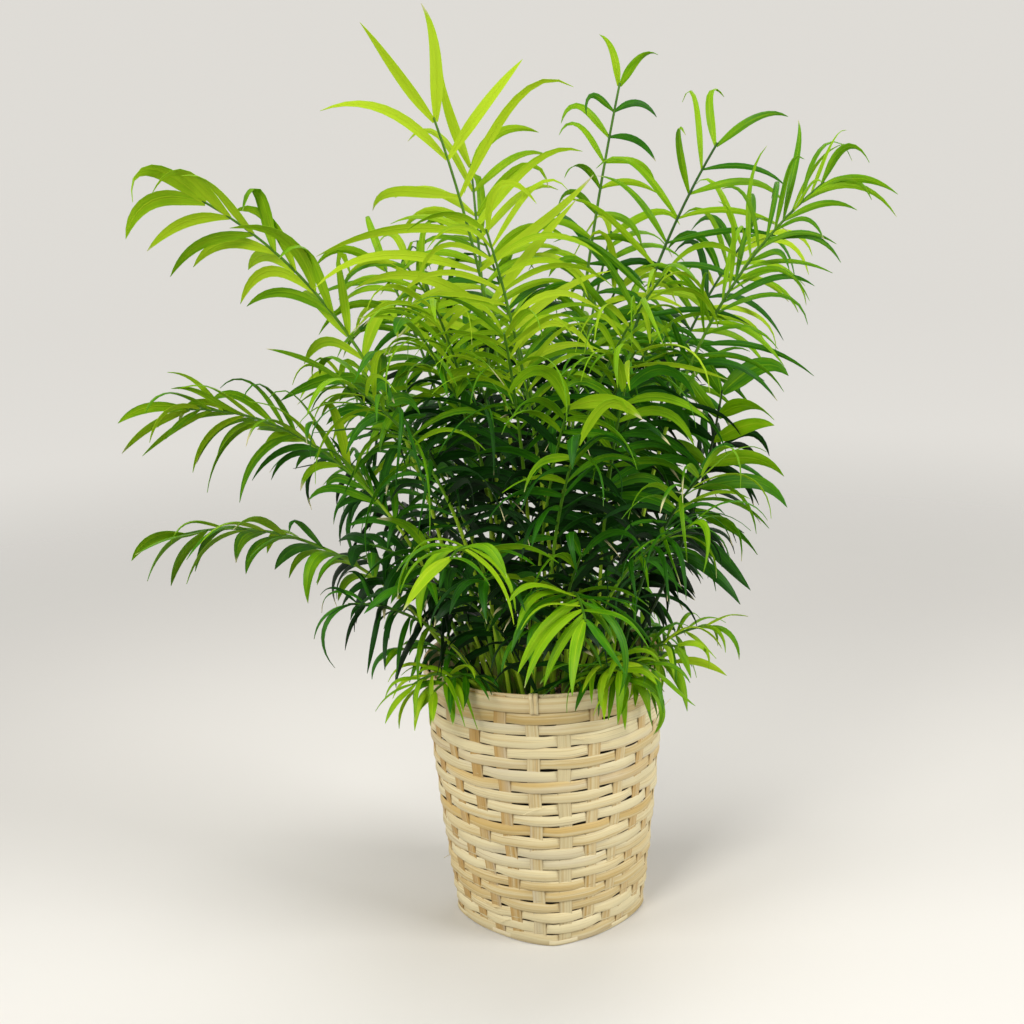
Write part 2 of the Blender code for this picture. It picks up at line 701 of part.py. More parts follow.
def make_frond(name, frond, stalk, pairs, made_of):
    """A frond in one piece: its sheath and stalk, with a leaflet drawn out of the stalk's side at each place."""
    bm = bmesh.new()
    sections = frond_sections(frond, stalk)
    foot = [bm.verts.new(place) for place in sections[0]]
    end = bm.faces.new(foot)
    for station, section in enumerate(sections[1:], 1):
        end = extruded(bm, end, section)
        walls = {face for edge in end.edges for face in edge.link_faces if face is not end}
        for leaf in pairs.get((station - 5) // 2, ()) if station % 2 else ():
            if leaf:
                draw_out_leaf(bm, outermost(walls, (section[1] - section[0]) * leaf.side), leaf)
    bm.faces.new(foot)
    return finish(name, bm, made_of)


def outermost(faces, way):
    return max((face for face in faces if face.is_valid), key=lambda face: face.calc_center_median().dot(way))


def draw_out_leaf(bm, face, leaf):
    """Draws a leaflet out of one face of a stalk."""
    for step in LEAF_SECTIONS:
        face = extruded(bm, face, leaf.section(step))
    tip = bmesh.ops.extrude_discrete_faces(bm, faces=[face])["faces"][0]
    bmesh.ops.pointmerge(bm, verts=list(tip.verts), merge_co=leaf.points[-1])


def main():
    for obj in list(bpy.data.objects):
        bpy.data.objects.remove(obj)
    bamboo = material("bamboo", (0.78, 0.66, 0.42), 0.55)
    pale_bamboo = material("pale_bamboo", (0.80, 0.70, 0.47), 0.5)
    plastic = material("black_plastic", (0.02, 0.02, 0.02), 0.5)
    earth = material("earth", (0.05, 0.032, 0.02), 0.95)
    stem = material("stem_green", (0.10, 0.22, 0.03), 0.5)
    leaf = material("leaf_green", (0.13, 0.36, 0.03), 0.45)
    make_basket(bamboo, pale_bamboo)
    make_pot(plastic)
    make_soil(earth)
    canes, fronds = grow()
    for index, stalk in enumerate(canes, 1):
        make_cane(f"cane_{index:02d}", stalk, stem)
    for index, (frond, stalk, pairs) in enumerate(fronds, 1):
        make_frond(f"frond_{index:02d}", frond, stalk, pairs, leaf)


main()
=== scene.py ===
"""The looks of a parlour palm in a woven split-bamboo basket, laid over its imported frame.

Metres, +Z up. The origin is the middle of the basket's underside and -Y is the plant's front.
The part headed "growth" puts each stalk and leaflet where the frame has it.
"""

import math
import random
from collections import defaultdict, namedtuple

import bpy
from mathutils import Matrix, Quaternion, Vector, noise
from mathutils.bvhtree import BVHTree


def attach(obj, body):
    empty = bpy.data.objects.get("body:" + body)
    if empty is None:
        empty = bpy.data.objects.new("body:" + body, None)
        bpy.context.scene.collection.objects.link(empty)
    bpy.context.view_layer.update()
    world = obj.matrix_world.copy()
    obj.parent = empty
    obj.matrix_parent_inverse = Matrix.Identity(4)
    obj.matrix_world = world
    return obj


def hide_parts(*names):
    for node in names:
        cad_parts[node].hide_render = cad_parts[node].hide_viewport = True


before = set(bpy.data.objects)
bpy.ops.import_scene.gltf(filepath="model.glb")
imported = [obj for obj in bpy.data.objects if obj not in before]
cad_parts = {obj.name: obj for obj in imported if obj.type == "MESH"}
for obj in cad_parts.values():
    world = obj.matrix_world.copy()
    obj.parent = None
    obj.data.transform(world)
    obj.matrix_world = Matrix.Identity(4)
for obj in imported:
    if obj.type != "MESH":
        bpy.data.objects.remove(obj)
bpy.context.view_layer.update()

UP = Vector((0, 0, 1))
DOWN = Vector((0, 0, -1))
GAP = 0.0003  # left between pieces that touch

# Basket: a rounded square at the table that turns into a circle at the rim.
BASKET_HEIGHT = 0.194
RIM_RADIUS = 0.086
BASE_HALF_DIAGONAL = 0.0685
BASE_POWER = 1.5  # of the outline's superellipse: 2 is a circle, 1 a square standing on its corner
FLARE_POWER = 1.35  # the wall opens quickly at first and stands nearly straight at the rim
ROUND_FROM = 0.75  # share of the height above which the outline is a full circle
WALL = 0.0032  # two weavers and a stake
BASE_PLATE = 0.0024

# Rim: the stakes' ends stand up as a thin neck between two hoops, which three ties hold.
HOOP_HEIGHT = 0.0125
HOOP = 0.0013
NECK_OUT = 0.0010
NECK_IN = 0.0022
OUTER_HOOP_DROP = 0.0015  # the inner hoop stands this much above the outer one
TIE_ANGLES = {"front": -96, "right": 28, "left": 150}
TIE_WIDTH = 0.0064
TIE = 0.0009
SLOT_UNDER_NECK = 0.0018

# Nursery pot and its soil
POT_BOTTOM = BASE_PLATE + GAP
POT_HEIGHT = 0.165
POT_BASE_RADIUS = 0.054
POT_TOP_RADIUS = 0.0728
POT_LIP_HEIGHT = 0.010
POT_WALL = 0.0014
SOIL_TOP = 0.153
SOIL_DOME = 0.004

# Stalks and leaflets
CANE_RADIUS = 0.0040
CANE_SHARES = (0.0, 0.15, 0.3, 0.5, 0.7, 0.9, 1.0)
SHEATH_HALF_WIDTH = 0.0030
SHEATH_HALF_THICK = 0.0008
SHEATH_LENGTH = 0.012
SHEATH_SEAT = GAP + SHEATH_HALF_THICK + 0.0002
STALK_HALF_FOOT = 0.0014
STALK_HALF_TIP = 0.0007
STALK_STEPS = 40
PATH_STEPS = 16
LEAF_SECTIONS = (6, 12)  # the steps of a leaflet's path that carry a section
LEAF_HALF_THICK = 0.00045
LEAF_WIDEST = 0.34
LEAF_FOOT = 0.22
LEAF_ROOT = 0.0028  # the length of stalk a pair of leaflets grows from
TIP_BROADER = 1.25  # how much broader a frond's last two leaflets are
CLEAR = 0.0004  # kept all round a leaf or stalk while it is placed
TRIES = 30
LEAF_SEED = 200  # each frond draws its leaflets' chances from a row of its own
STALK_TRIES = 80
STALK_ROOM = 0.0022  # kept between a stalk or leaf and the basket, the pot and the soil
TABLE_ROOM = 0.004
CANE_TAPER = 0.3
BUD_FROM = 0.9  # share of a cane's height above which it is a pointed bud
SPRING_HEIGHT = 0.88  # share of a cane's height that the fronds spring from at most
SIDES = (-1, 1)

# A cane's foot on the soil, its height above it, and how far and which way its tip leans (degrees).
Cane = namedtuple("Cane", "x y height lean heading")
CANES = [Cane(*row) for row in (
    (-0.004, -0.010, 0.085, 4, 200),
    (0.024, 0.008, 0.080, 6, 20),
    (-0.024, 0.012, 0.075, 6, 160),
    (0.006, 0.036, 0.070, 5, 80),
    (-0.048, -0.008, 0.060, 7, 185),
    (-0.030, -0.040, 0.050, 6, 232),
    (0.014, -0.047, 0.055, 5, 285),
    (0.046, -0.022, 0.060, 7, 335),
    (0.046, 0.026, 0.055, 7, 35),
    (-0.036, 0.044, 0.060, 6, 130),
)]

# One row for each frond, cane by cane and from the foot up. height is the share of its cane's
# height that it springs from, and heading the way it points, from +X towards +Y, with its blade
# rolled about its stalk by roll. It leaves at lean and ends at tip_lean from the vertical, and
# turns later where late is larger. It is length long and bare of leaflets for the first bare share.
# Its leaflets hang by droop and stand off their stalk by sweep, where 1 is usual.
Frond = namedtuple(
    "Frond",
    "cane height heading roll lean tip_lean late length bare pairs leaf width droop sweep",
    defaults=(1.0, 1.0),
)
FRONDS = [Frond(*row) for row in (
    (0, 0.95, 184, 90, 2, 18, 1.6, 0.354, 0.42, 8, 0.112, 0.0094, 0.45, 0.9),
    (0, 0.70, 320, 0, 7, 42, 1.6, 0.290, 0.30, 10, 0.078, 0.0068),
    (0, 0.45, 250, 0, 6, 38, 1.6, 0.280, 0.28, 10, 0.080, 0.0070),
    (0, 0.25, 60, 20, 8, 30, 1.6, 0.330, 0.40, 9, 0.080, 0.0068),
    (1, 0.95, 12, 75, 6, 33, 1.4, 0.346, 0.42, 11, 0.078, 0.0070, 0.6, 0.85),
    (1, 0.70, 140, -30, 6, 30, 1.6, 0.300, 0.42, 9, 0.078, 0.0064),
    (1, 0.45, 285, 0, 8, 52, 1.6, 0.275, 0.30, 10, 0.078, 0.0070),
    (1, 0.20, 62, 20, 10, 50, 1.6, 0.260, 0.32, 9, 0.076, 0.0066),
    (2, 0.95, 105, 0, 5, 18, 1.6, 0.325, 0.42, 11, 0.080, 0.0072, 0.7, 1.0),
    (2, 0.70, 245, 0, 8, 46, 1.6, 0.285, 0.30, 10, 0.080, 0.0070),
    (2, 0.45, 20, 60, 6, 34, 1.6, 0.280, 0.32, 9, 0.078, 0.0068),
    (2, 0.20, 172, 40, 12, 50, 1.6, 0.260, 0.52, 7, 0.054, 0.0066),
    (3, 0.95, 26, 60, 5, 15, 1.2, 0.382, 0.58, 9, 0.048, 0.0060),
    (3, 0.70, 170, -60, 8, 36, 1.6, 0.290, 0.42, 9, 0.078, 0.0066),
    (3, 0.45, 100, 0, 10, 58, 1.6, 0.275, 0.34, 9, 0.078, 0.0068),
    (3, 0.20, 300, 0, 7, 38, 1.6, 0.280, 0.30, 9, 0.074, 0.0066),
    (4, 0.95, 180, 55, 10, 60, 1.8, 0.372, 0.40, 12, 0.080, 0.0112, 0.9, 0.6),
    (4, 0.75, 176, 40, 20, 92, 1.8, 0.285, 0.36, 12, 0.066, 0.0086, 0.8, 0.5),
    (4, 0.15, 120, 0, 16, 66, 1.6, 0.255, 0.36, 8, 0.072, 0.0066),
    (4, 0.45, 186, 25, 30, 104, 1.5, 0.245, 0.38, 11, 0.062, 0.0090, 1.0, 0.65),
    (5, 0.95, 215, 20, 8, 56, 1.6, 0.250, 0.36, 9, 0.076, 0.0071),
    (5, 0.65, 257, 0, 13, 97, 1.6, 0.220, 0.58, 6, 0.062, 0.0100),
    (5, 0.40, 196, 0, 26, 88, 1.6, 0.140, 0.38, 8, 0.052, 0.0064),
    (5, 0.20, 226, 0, 20, 112, 1.4, 0.095, 0.42, 7, 0.044, 0.0074),
    (6, 0.95, 205, 60, 3, 17, 1.6, 0.310, 0.36, 10, 0.082, 0.0070),
    (6, 0.65, 272, 0, 12, 122, 1.6, 0.165, 0.50, 8, 0.066, 0.0095),
    (6, 0.40, 318, 0, 16, 70, 1.6, 0.190, 0.38, 8, 0.066, 0.0068),
    (6, 0.25, 300, 0, 18, 112, 1.5, 0.100, 0.42, 7, 0.044, 0.0078),
    (7, 0.95, 350, 50, 10, 52, 2.0, 0.360, 0.40, 13, 0.074, 0.0072, 0.7, 0.72),
    (7, 0.65, 352, 70, 30, 8, 1.2, 0.215, 0.38, 8, 0.064, 0.0096, 0.7, 1.0),
    (7, 0.40, 312, 0, 14, 50, 1.6, 0.200, 0.36, 9, 0.068, 0.0066),
    (7, 0.25, 345, 0, 22, 84, 1.4, 0.090, 0.42, 7, 0.044, 0.0059),
    (8, 0.95, 22, 40, 10, 48, 1.8, 0.310, 0.42, 10, 0.074, 0.0066),
    (8, 0.65, 75, 0, 14, 64, 1.6, 0.270, 0.38, 8, 0.072, 0.0066),
    (8, 0.40, 30, 20, 14, 56, 1.6, 0.185, 0.36, 9, 0.064, 0.0064),
    (8, 0.15, 50, 0, 24, 86, 1.6, 0.150, 0.38, 8, 0.052, 0.0061),
    (9, 0.95, 140, -40, 9, 38, 1.6, 0.275, 0.40, 9, 0.070, 0.0064),
    (9, 0.70, 88, 0, 14, 64, 1.6, 0.260, 0.38, 8, 0.072, 0.0066),
    (9, 0.45, 152, 0, 22, 70, 1.6, 0.195, 0.38, 9, 0.060, 0.0064),
    (9, 0.20, 118, 0, 24, 86, 1.6, 0.150, 0.38, 8, 0.052, 0.0061),
)]


def blend(low, high, share):
    return low + (high - low) * share


def keep(value, low=0.0, high=1.0):
    return min(max(value, low), high)


def ease(share):
    share = keep(share)
    return share * share * (3 - 2 * share)


def polar(reach, turn, z=0.0):
    """A point at a distance from the middle, an angle and a height."""
    return Vector((reach * math.cos(turn), reach * math.sin(turn), z))


# --- growth -------------------------------------------------------------------------------------


class Crowd:
    """The stalks and leaves placed so far, to tell whether a new one would run through them."""

    CELL = 0.03

    def __init__(self):
        self.cells = defaultdict(set)
        self.parts = []

    def _box(self, points):
        return [(min(p[k] for p in points), max(p[k] for p in points)) for k in range(3)]

    def _near(self, box):
        spans = [range(int(low // self.CELL), int(high // self.CELL) + 1) for low, high in box]
        return [(i, j, k) for i in spans[0] for j in spans[1] for k in spans[2]]

    def add(self, owner, points, faces):
        box = self._box(points)
        for cell in self._near(box):
            self.cells[cell].add(len(self.parts))
        self.parts.append((owner, box, BVHTree.FromPolygons(points, faces)))

    def clears(self, points, faces, skip=()):
        box = self._box(points)
        found = set().union(*(self.cells.get(cell, ()) for cell in self._near(box)))
        tree = None
        for index in sorted(found):
            owner, other, other_tree = self.parts[index]
            apart = any(a[0] > b[1] or b[0] > a[1] for a, b in zip(box, other))
            if owner in skip or apart:
                continue
            tree = tree or BVHTree.FromPolygons(points, faces)
            if tree.overlap(other_tree):
                return False
        return True


def sleeve(sections):
    """Points and faces of a four-sided sleeve through sections, each four corners."""
    points = [corner for section in sections for corner in section]
    faces = [(0, 1, 2, 3)]
    for start in range(0, len(points) - 4, 4):
        for side in range(4):
            after = (side + 1) % 4
            faces.append((start + side, start + after, start + 4 + after, start + 4 + side))
    faces.append(tuple(range(len(points) - 4, len(points))))
    return points, faces


def corners(centre, across, top, half_width, half_thick):
    """The four corners of a flat section, in order round it."""
    signs = ((-1, 1), (1, 1), (1, -1), (-1, -1))
    return [centre + across * (a * half_width) + top * (b * half_thick) for a, b in signs]


class Stalk:
    """A stalk's line and, at any share of its length, the way it runs, its side and its upper side."""

    def __init__(self, foot, heading, lean, tip_lean, length, late=1.6, sway=0.0, roll=0.0, bare=1.0):
        self.frames = []
        point = foot.copy()
        step = length / STALK_STEPS
        for i in range(STALK_STEPS + 1):
            share = i / STALK_STEPS
            angle = math.radians(blend(lean, tip_lean, share**late))
            turn = math.radians(heading + sway * share)
            along = polar(math.sin(angle), turn, math.cos(angle))
            side = Vector((-math.sin(turn), math.cos(turn), 0))
            twist = Quaternion(along, math.radians(roll) * min(share / bare, 1.0))
            self.frames.append((point.copy(), along, twist @ side, twist @ along.cross(side)))
            point += along * step

    def frame(self, share):
        place = keep(share) * STALK_STEPS
        low = min(int(place), STALK_STEPS - 1)
        point, *ways = (a.lerp(b, place - low) for a, b in zip(self.frames[low], self.frames[low + 1]))
        return point, *(way.normalized() for way in ways)

    def tip(self):
        return self.frame(1)[0]


def stalk_half(share):
    """Half the thickness of a frond's stalk."""
    return blend(STALK_HALF_FOOT, STALK_HALF_TIP, share)


def clears_basket(points):
    """Whether points keep off the table, the soil, the pot and the basket."""
    margin = STALK_ROOM
    for point in points:
        reach = math.hypot(point.x, point.y)
        outer = wall_radius(math.atan2(point.y, point.x), min(point.z, BASKET_HEIGHT)) + margin
        inner = outer - WALL - 2 * margin - HOOP
        if (
            point.z < TABLE_ROOM
            or (point.z < BASKET_HEIGHT + margin and inner < reach < outer)
            or (point.z < SOIL_TOP + SOIL_DOME + margin and reach <= inner)
            or (point.z < POT_BOTTOM + POT_HEIGHT + margin and POT_TOP_RADIUS - margin < reach <= inner)
        ):
            return False
    return True


def stalk_sections(stalk, shares, half):
    sections = []
    for share in shares:
        point, _, side, top = stalk.frame(share)
        size = half(share) + CLEAR
        sections.append(corners(point, side, top, size, size))
    return sections


def stalk_lengths(frond, stalk):
    """The sleeves round a frond's stalk, length by length from the flat foot that clasps its cane."""
    sections = stalk_sections(stalk, stations(frond), stalk_half)
    point, _, side, top = stalk.frame(0)
    sections[0] = corners(point, side, top, SHEATH_HALF_WIDTH + CLEAR, SHEATH_HALF_THICK + CLEAR)
    return [sleeve(pair) for pair in zip(sections, sections[1:])]


def pair_share(frond, index):
    """Where along its stalk a frond's pair of leaflets grows."""
    share = blend(frond.bare, 1.0, (index + 0.9) / frond.pairs)
    return min(share, 1 - LEAF_ROOT / 2 / frond.length)


def stations(frond):
    """The shares where a frond's stalk has a section.

    The length that ends at station 2 * index + 5 carries a pair of leaflets.
    """
    sheath, first = SHEATH_LENGTH / frond.length, pair_share(frond, 0)
    half = LEAF_ROOT / 2 / frond.length
    shares = [0.0, sheath, blend(sheath, first, 0.35), blend(sheath, first, 0.7)]
    for index in range(frond.pairs):
        share = pair_share(frond, index)
        shares += [share - half, min(share + half, 1.0)]
    return shares


def leaf_path(start, aim, droop, late, swing, length):
    """A leaflet's centre line, which swings aside and bends down, nearer its tip if late is larger."""
    points = [start.copy()]
    ways = []
    for i in range(PATH_STEPS):
        share = (i + 0.5) / PATH_STEPS
        way = (aim + DOWN * (droop * share**late) + swing * share**1.5).normalized()
        ways.append(way)
        points.append(points[-1] + way * (length / PATH_STEPS))
    return points, ways


def leaf_width(share):
    """Share of a leaflet's full width: narrow at its foot, widest a third of the way out, then a point."""
    if share < LEAF_WIDEST:
        return blend(LEAF_FOOT, 1.0, math.sin(share / LEAF_WIDEST * math.pi / 2))
    return math.cos((share - LEAF_WIDEST) / (1 - LEAF_WIDEST) * math.pi / 2) ** 0.85


class Leaflet:
    """A leaflet's centre line and width, and the side of the stalk that it grows from."""

    def __init__(self, root, side, points, ways, across, width, twist):
        self.root, self.side = root, side
        self.points, self.ways = points, ways
        self.width, self.twist = width, twist
        self.across = []
        for way in ways:
            across = (across - way * across.dot(way)).normalized()
            self.across.append(across)

    def section(self, step):
        share, last = step / PATH_STEPS, min(step, PATH_STEPS - 1)
        way = self.ways[last]
        across = Quaternion(way, self.twist * share) @ self.across[last]
        half = self.width / 2 * leaf_width(share) + CLEAR
        return corners(self.points[step], across, across.cross(way), half, LEAF_HALF_THICK + CLEAR)

    def sleeve(self):
        """The whole leaflet, a little larger all round."""
        stalk_side, top, half = self.root
        root = corners(self.points[0], stalk_side, top * self.side, LEAF_ROOT / 2 + CLEAR, half + CLEAR)
        return sleeve([root] + [self.section(step) for step in (*LEAF_SECTIONS, PATH_STEPS)])


def grow_leaf(frond, stalk, crowd, owner, draw, index, side):
    """The leaflet at one place on a stalk, turned and shortened until it clears the rest, or None."""
    place = (index + 0.5) / frond.pairs
    last = index == frond.pairs - 1
    share = pair_share(frond, index)
    point, along, out, top = stalk.frame(share)
    out = out * side
    half = stalk_half(share)
    start = point + out * half
    spread = (30 if last else blend(74, 42, place)) * frond.sweep
    size = 0.68 + 0.32 * math.sin(math.pi * min(0.12 + 0.78 * place, 1))
    size *= draw.uniform(0.84, 1.12)
    lift = draw.uniform(-0.15, 0.55)
    late = draw.uniform(0.8, 2.8)
    droop = draw.uniform(0.7, 1.7) * (0.6 + 0.5 * late) * frond.droop
    swing = draw.uniform(-0.5, 0.5)
    station = 2 * index + 5
    near = {(owner, k) for k in (station - 1, station, station + 1)}
    for attempt in range(TRIES):
        loose = attempt / TRIES
        angle = math.radians(max(spread + draw.uniform(-1, 1) * (15 + 25 * loose), 14))
        rise = lift + draw.uniform(-1, 1) * 0.7 * loose
        bend = droop * (1 + draw.uniform(-0.8, 0.8) * loose)
        length = frond.leaf * size * (1 - 0.45 * loose)
        width = frond.width * (0.8 + 0.2 * size) * (1 - 0.2 * loose) * (TIP_BROADER if last else 1)
        twist = math.radians(draw.uniform(-55, 55))
        aim = (along * math.cos(angle) + out * math.sin(angle) + top * rise).normalized()
        across = along * math.sin(angle) - out * math.cos(angle)
        path = leaf_path(start, aim, bend, late, across * swing, length)
        leaf = Leaflet((along, top, half), side, *path, across, width, twist)
        shape = leaf.sleeve()
        if clears_basket(leaf.points) and crowd.clears(*shape, skip=near):
            crowd.add((owner, "leaf"), *shape)
            return leaf


def grow_leaves(frond, stalk, crowd, owner, draw):
    """A frond's leaflets from the tip down, each with how far out it grows."""
    found = []
    for place in reversed(range(frond.pairs)):
        for side in SIDES:
            leaf = grow_leaf(frond, stalk, crowd, owner, draw, place, side)
            if leaf:
                found.append((place / frond.pairs, leaf))
    return found


def grow():
    """Places every cane, then every frond's stalk, then the leaflets, none running through another."""
    draw = random.Random(7)
    crowd = Crowd()
    canes = []
    for index, cane in enumerate(CANES):
        foot = Vector((cane.x, cane.y, SOIL_TOP))
        canes.append(Stalk(foot, cane.heading, 0, cane.lean, cane.height))
        crowd.add(("cane", index), *sleeve(stalk_sections(canes[index], CANE_SHARES, cane_half)))
    stalks = [grow_stalk(frond, canes[frond.cane], crowd, draw, index) for index, frond in enumerate(FRONDS)]
    fronds = []
    for index, (frond, stalk) in enumerate(zip(FRONDS, stalks)):
        draw = random.Random(LEAF_SEED + index)
        fronds.append((frond, stalk, grow_leaves(frond, stalk, crowd, index, draw)))
    return canes, fronds, crowd


def cane_half(share):
    """Half the thickness of a cane, which ends in a pointed bud."""
    if share < BUD_FROM:
        return CANE_RADIUS * (1 - CANE_TAPER * share)
    return CANE_RADIUS * (7.3 * (1 - share))


def grow_stalk(frond, cane, crowd, draw, index):
    """A frond's stalk, springing from the side of its cane and swung aside until it clears the rest."""
    height = frond.height * SPRING_HEIGHT
    centre = cane.frame(height)[0]
    around_cane = cane_half(height) + SHEATH_SEAT
    own = {("cane", frond.cane)}
    for attempt in range(STALK_TRIES):
        loose = attempt / STALK_TRIES
        heading = frond.heading + draw.uniform(-1, 1) * 25 * loose
        lean = max(frond.lean + draw.uniform(-1, 1) * 8 * loose, 3)
        sway = draw.uniform(-8, 8)
        roll = frond.roll + draw.uniform(-12, 12)
        foot = centre + polar(1, math.radians(heading)) * around_cane
        stalk = Stalk(foot, heading, lean, frond.tip_lean, frond.length, frond.late, sway, roll, frond.bare)
        lengths = stalk_lengths(frond, stalk)
        free = all(crowd.clears(*shape, skip=own if k == 0 else ()) for k, shape in enumerate(lengths))
        if free and clears_basket([f[0] for f in stalk.frames[4:]]):
            break
    else:
        print(f"frond_{index + 1:02d} found no clear way")
    for station, shape in enumerate(lengths, 1):
        crowd.add((index, station), *shape)
    return stalk


def wall_radius(angle, z, inset=0.0):
    """The wall's outer radius at an angle and a height, less an inset."""
    share = z / BASKET_HEIGHT
    size = blend(RIM_RADIUS, BASE_HALF_DIAGONAL, (1 - share) ** FLARE_POWER)
    power = blend(BASE_POWER, 2.0, min(share / ROUND_FROM, 1.0))
    reach = abs(math.cos(angle)) ** power + abs(math.sin(angle)) ** power
    return size / reach ** (1 / power) - inset


def pot_radius(z):
    """The pot's outer radius below its lip."""
    share = (z - POT_BOTTOM) / (POT_HEIGHT - POT_LIP_HEIGHT)
    return blend(POT_BASE_RADIUS, POT_TOP_RADIUS, share)


# --- finishes -----------------------------------------------------------------------------------


def tint(red, green, blue):
    """A colour given by its three bytes, as the shader wants it."""
    shares = (byte / 255 for byte in (red, green, blue))
    return (*(s / 12.92 if s <= 0.04045 else ((s + 0.055) / 1.055) ** 2.4 for s in shares), 1.0)


class Reading:
    """A number that a finish works out at each point of a surface, for use in plain sums."""

    def __init__(self, finish, socket):
        self.finish, self.socket = finish, socket

    def maths(self, operation, *terms):
        return self.finish.reading("ShaderNodeMath", {"operation": operation}, dict(enumerate(terms)))

    def __add__(self, other):
        return self.maths("ADD", self, other)

    def __sub__(self, other):
        return self.maths("SUBTRACT", self, other)

    def __rsub__(self, other):
        return self.maths("SUBTRACT", other, self)

    def __mul__(self, other):
        return self.maths("MULTIPLY", self, other)

    def __truediv__(self, other):
        return self.maths("DIVIDE", self, other)

    def __abs__(self):
        return self.maths("ABSOLUTE", self)

    __radd__ = __add__
    __rmul__ = __mul__

    def part(self):
        """What follows the point."""
        return self.maths("FRACT", self)

    def rise(self, low, high):
        """0 at low and 1 at high, and smooth between them."""
        inputs = {"Value": self, "From Min": low, "From Max": high}
        return self.finish.reading("ShaderNodeMapRange", {"interpolation_type": "SMOOTHSTEP"}, inputs)


class Finish:
    """A material that is built node by node."""

    def __init__(self, name, **sockets):
        self.material = bpy.data.materials.new(name)
        self.material.use_nodes = True
        self.tree = self.material.node_tree
        self.shader = self.tree.nodes["Principled BSDF"]
        self.give(**sockets)

    def feed(self, socket, value):
        if isinstance(value, Reading):
            value = value.socket
        if isinstance(value, bpy.types.NodeSocket):
            self.tree.links.new(value, socket)
        else:
            socket.default_value = value

    def give(self, **sockets):
        """Feeds the shader's sockets, named with _ for a space, and returns the material."""
        for name, value in sockets.items():
            self.feed(self.shader.inputs[name.replace("_", " ")], value)
        return self.material

    def node(self, kind, settings=None, inputs=None):
        """A node of a kind, with its settings made first and then its inputs fed."""
        node = self.tree.nodes.new(kind)
        for name, value in (settings or {}).items():
            if name == "stops":
                ramp = node.color_ramp
                while len(ramp.elements) < len(value):
                    ramp.elements.new(0.5)
                for element, (place, colour) in zip(ramp.elements, value):
                    element.position, element.color = place, tint(*colour)
            else:
                setattr(node, name, value)
        for name, value in (inputs or {}).items():
            self.feed(node.inputs[name], value)
        return node

    def reading(self, kind, settings=None, inputs=None, output=0):
        return Reading(self, self.node(kind, settings, inputs).outputs[output])

    def place(self, x, y, z):
        return self.reading("ShaderNodeCombineXYZ", None, {0: x, 1: y, 2: z})

    def split(self, kind, whole):
        return [Reading(self, output) for output in self.node(kind, None, {0: whole}).outputs]

    def along_strip(self):
        """How far along its own surface a point lies, and how far across."""
        return self.split("ShaderNodeSeparateXYZ", self.reading("ShaderNodeUVMap"))[:2]

    def tone(self):
        """The four numbers painted on a piece."""
        paint = self.node("ShaderNodeAttribute", {"attribute_name": "tone"})
        colours = self.split("ShaderNodeSeparateColor", paint.outputs["Color"])
        return *colours, Reading(self, paint.outputs["Alpha"])

    def grain(self, where, scale=1.0, detail=2.0, roughness=0.5):
        inputs = {"Vector": where, "Scale": scale, "Detail": detail, "Roughness": roughness}
        return self.reading("ShaderNodeTexNoise", None, inputs)

    def spot(self):
        """The point itself, in metres."""
        return self.reading("ShaderNodeTexCoord", output="Object")

    def seen(self):
        """1 where a ray comes from the eye, a reflection or clear glass, and 0 where it brings light."""
        ray = self.node("ShaderNodeLightPath")
        kinds = ("Camera", "Glossy", "Transmission")
        eye, gloss, clear = (Reading(self, ray.outputs[f"Is {kind} Ray"]) for kind in kinds)
        return eye.maths("MAXIMUM", eye.maths("MAXIMUM", eye, gloss), clear)

    def mix(self, first, second, share, how="MIX"):
        settings = {"data_type": "RGBA", "blend_type": how, "clamp_factor": True}
        return self.reading("ShaderNodeMix", settings, {0: share, 6: first, 7: second}, output=2)

    def ramp(self, value, *stops):
        """The colour at a value among stops, each a place and a colour's bytes."""
        return self.reading("ShaderNodeValToRGB", {"stops": stops}, {0: value})

    def relief(self, height, depth, strength):
        """A surface raised by height times depth, in metres."""
        inputs = {"Strength": strength, "Distance": depth, "Height": height}
        return self.reading("ShaderNodeBump", None, inputs)

    def show_mix(self, share, first, second, output="Material Output"):
        """Sends a mix of two shaders to the output."""
        mixed = self.reading("ShaderNodeMixShader", None, {0: share, 1: first, 2: second})
        self.feed(self.tree.nodes[output].inputs[0], mixed)

    def let_light_through(self, colour, share):
        """Mixes in light that comes through from the far side."""
        through = self.reading("ShaderNodeBsdfTranslucent", None, {0: colour})
        self.show_mix(share, self.shader.outputs[0], through)


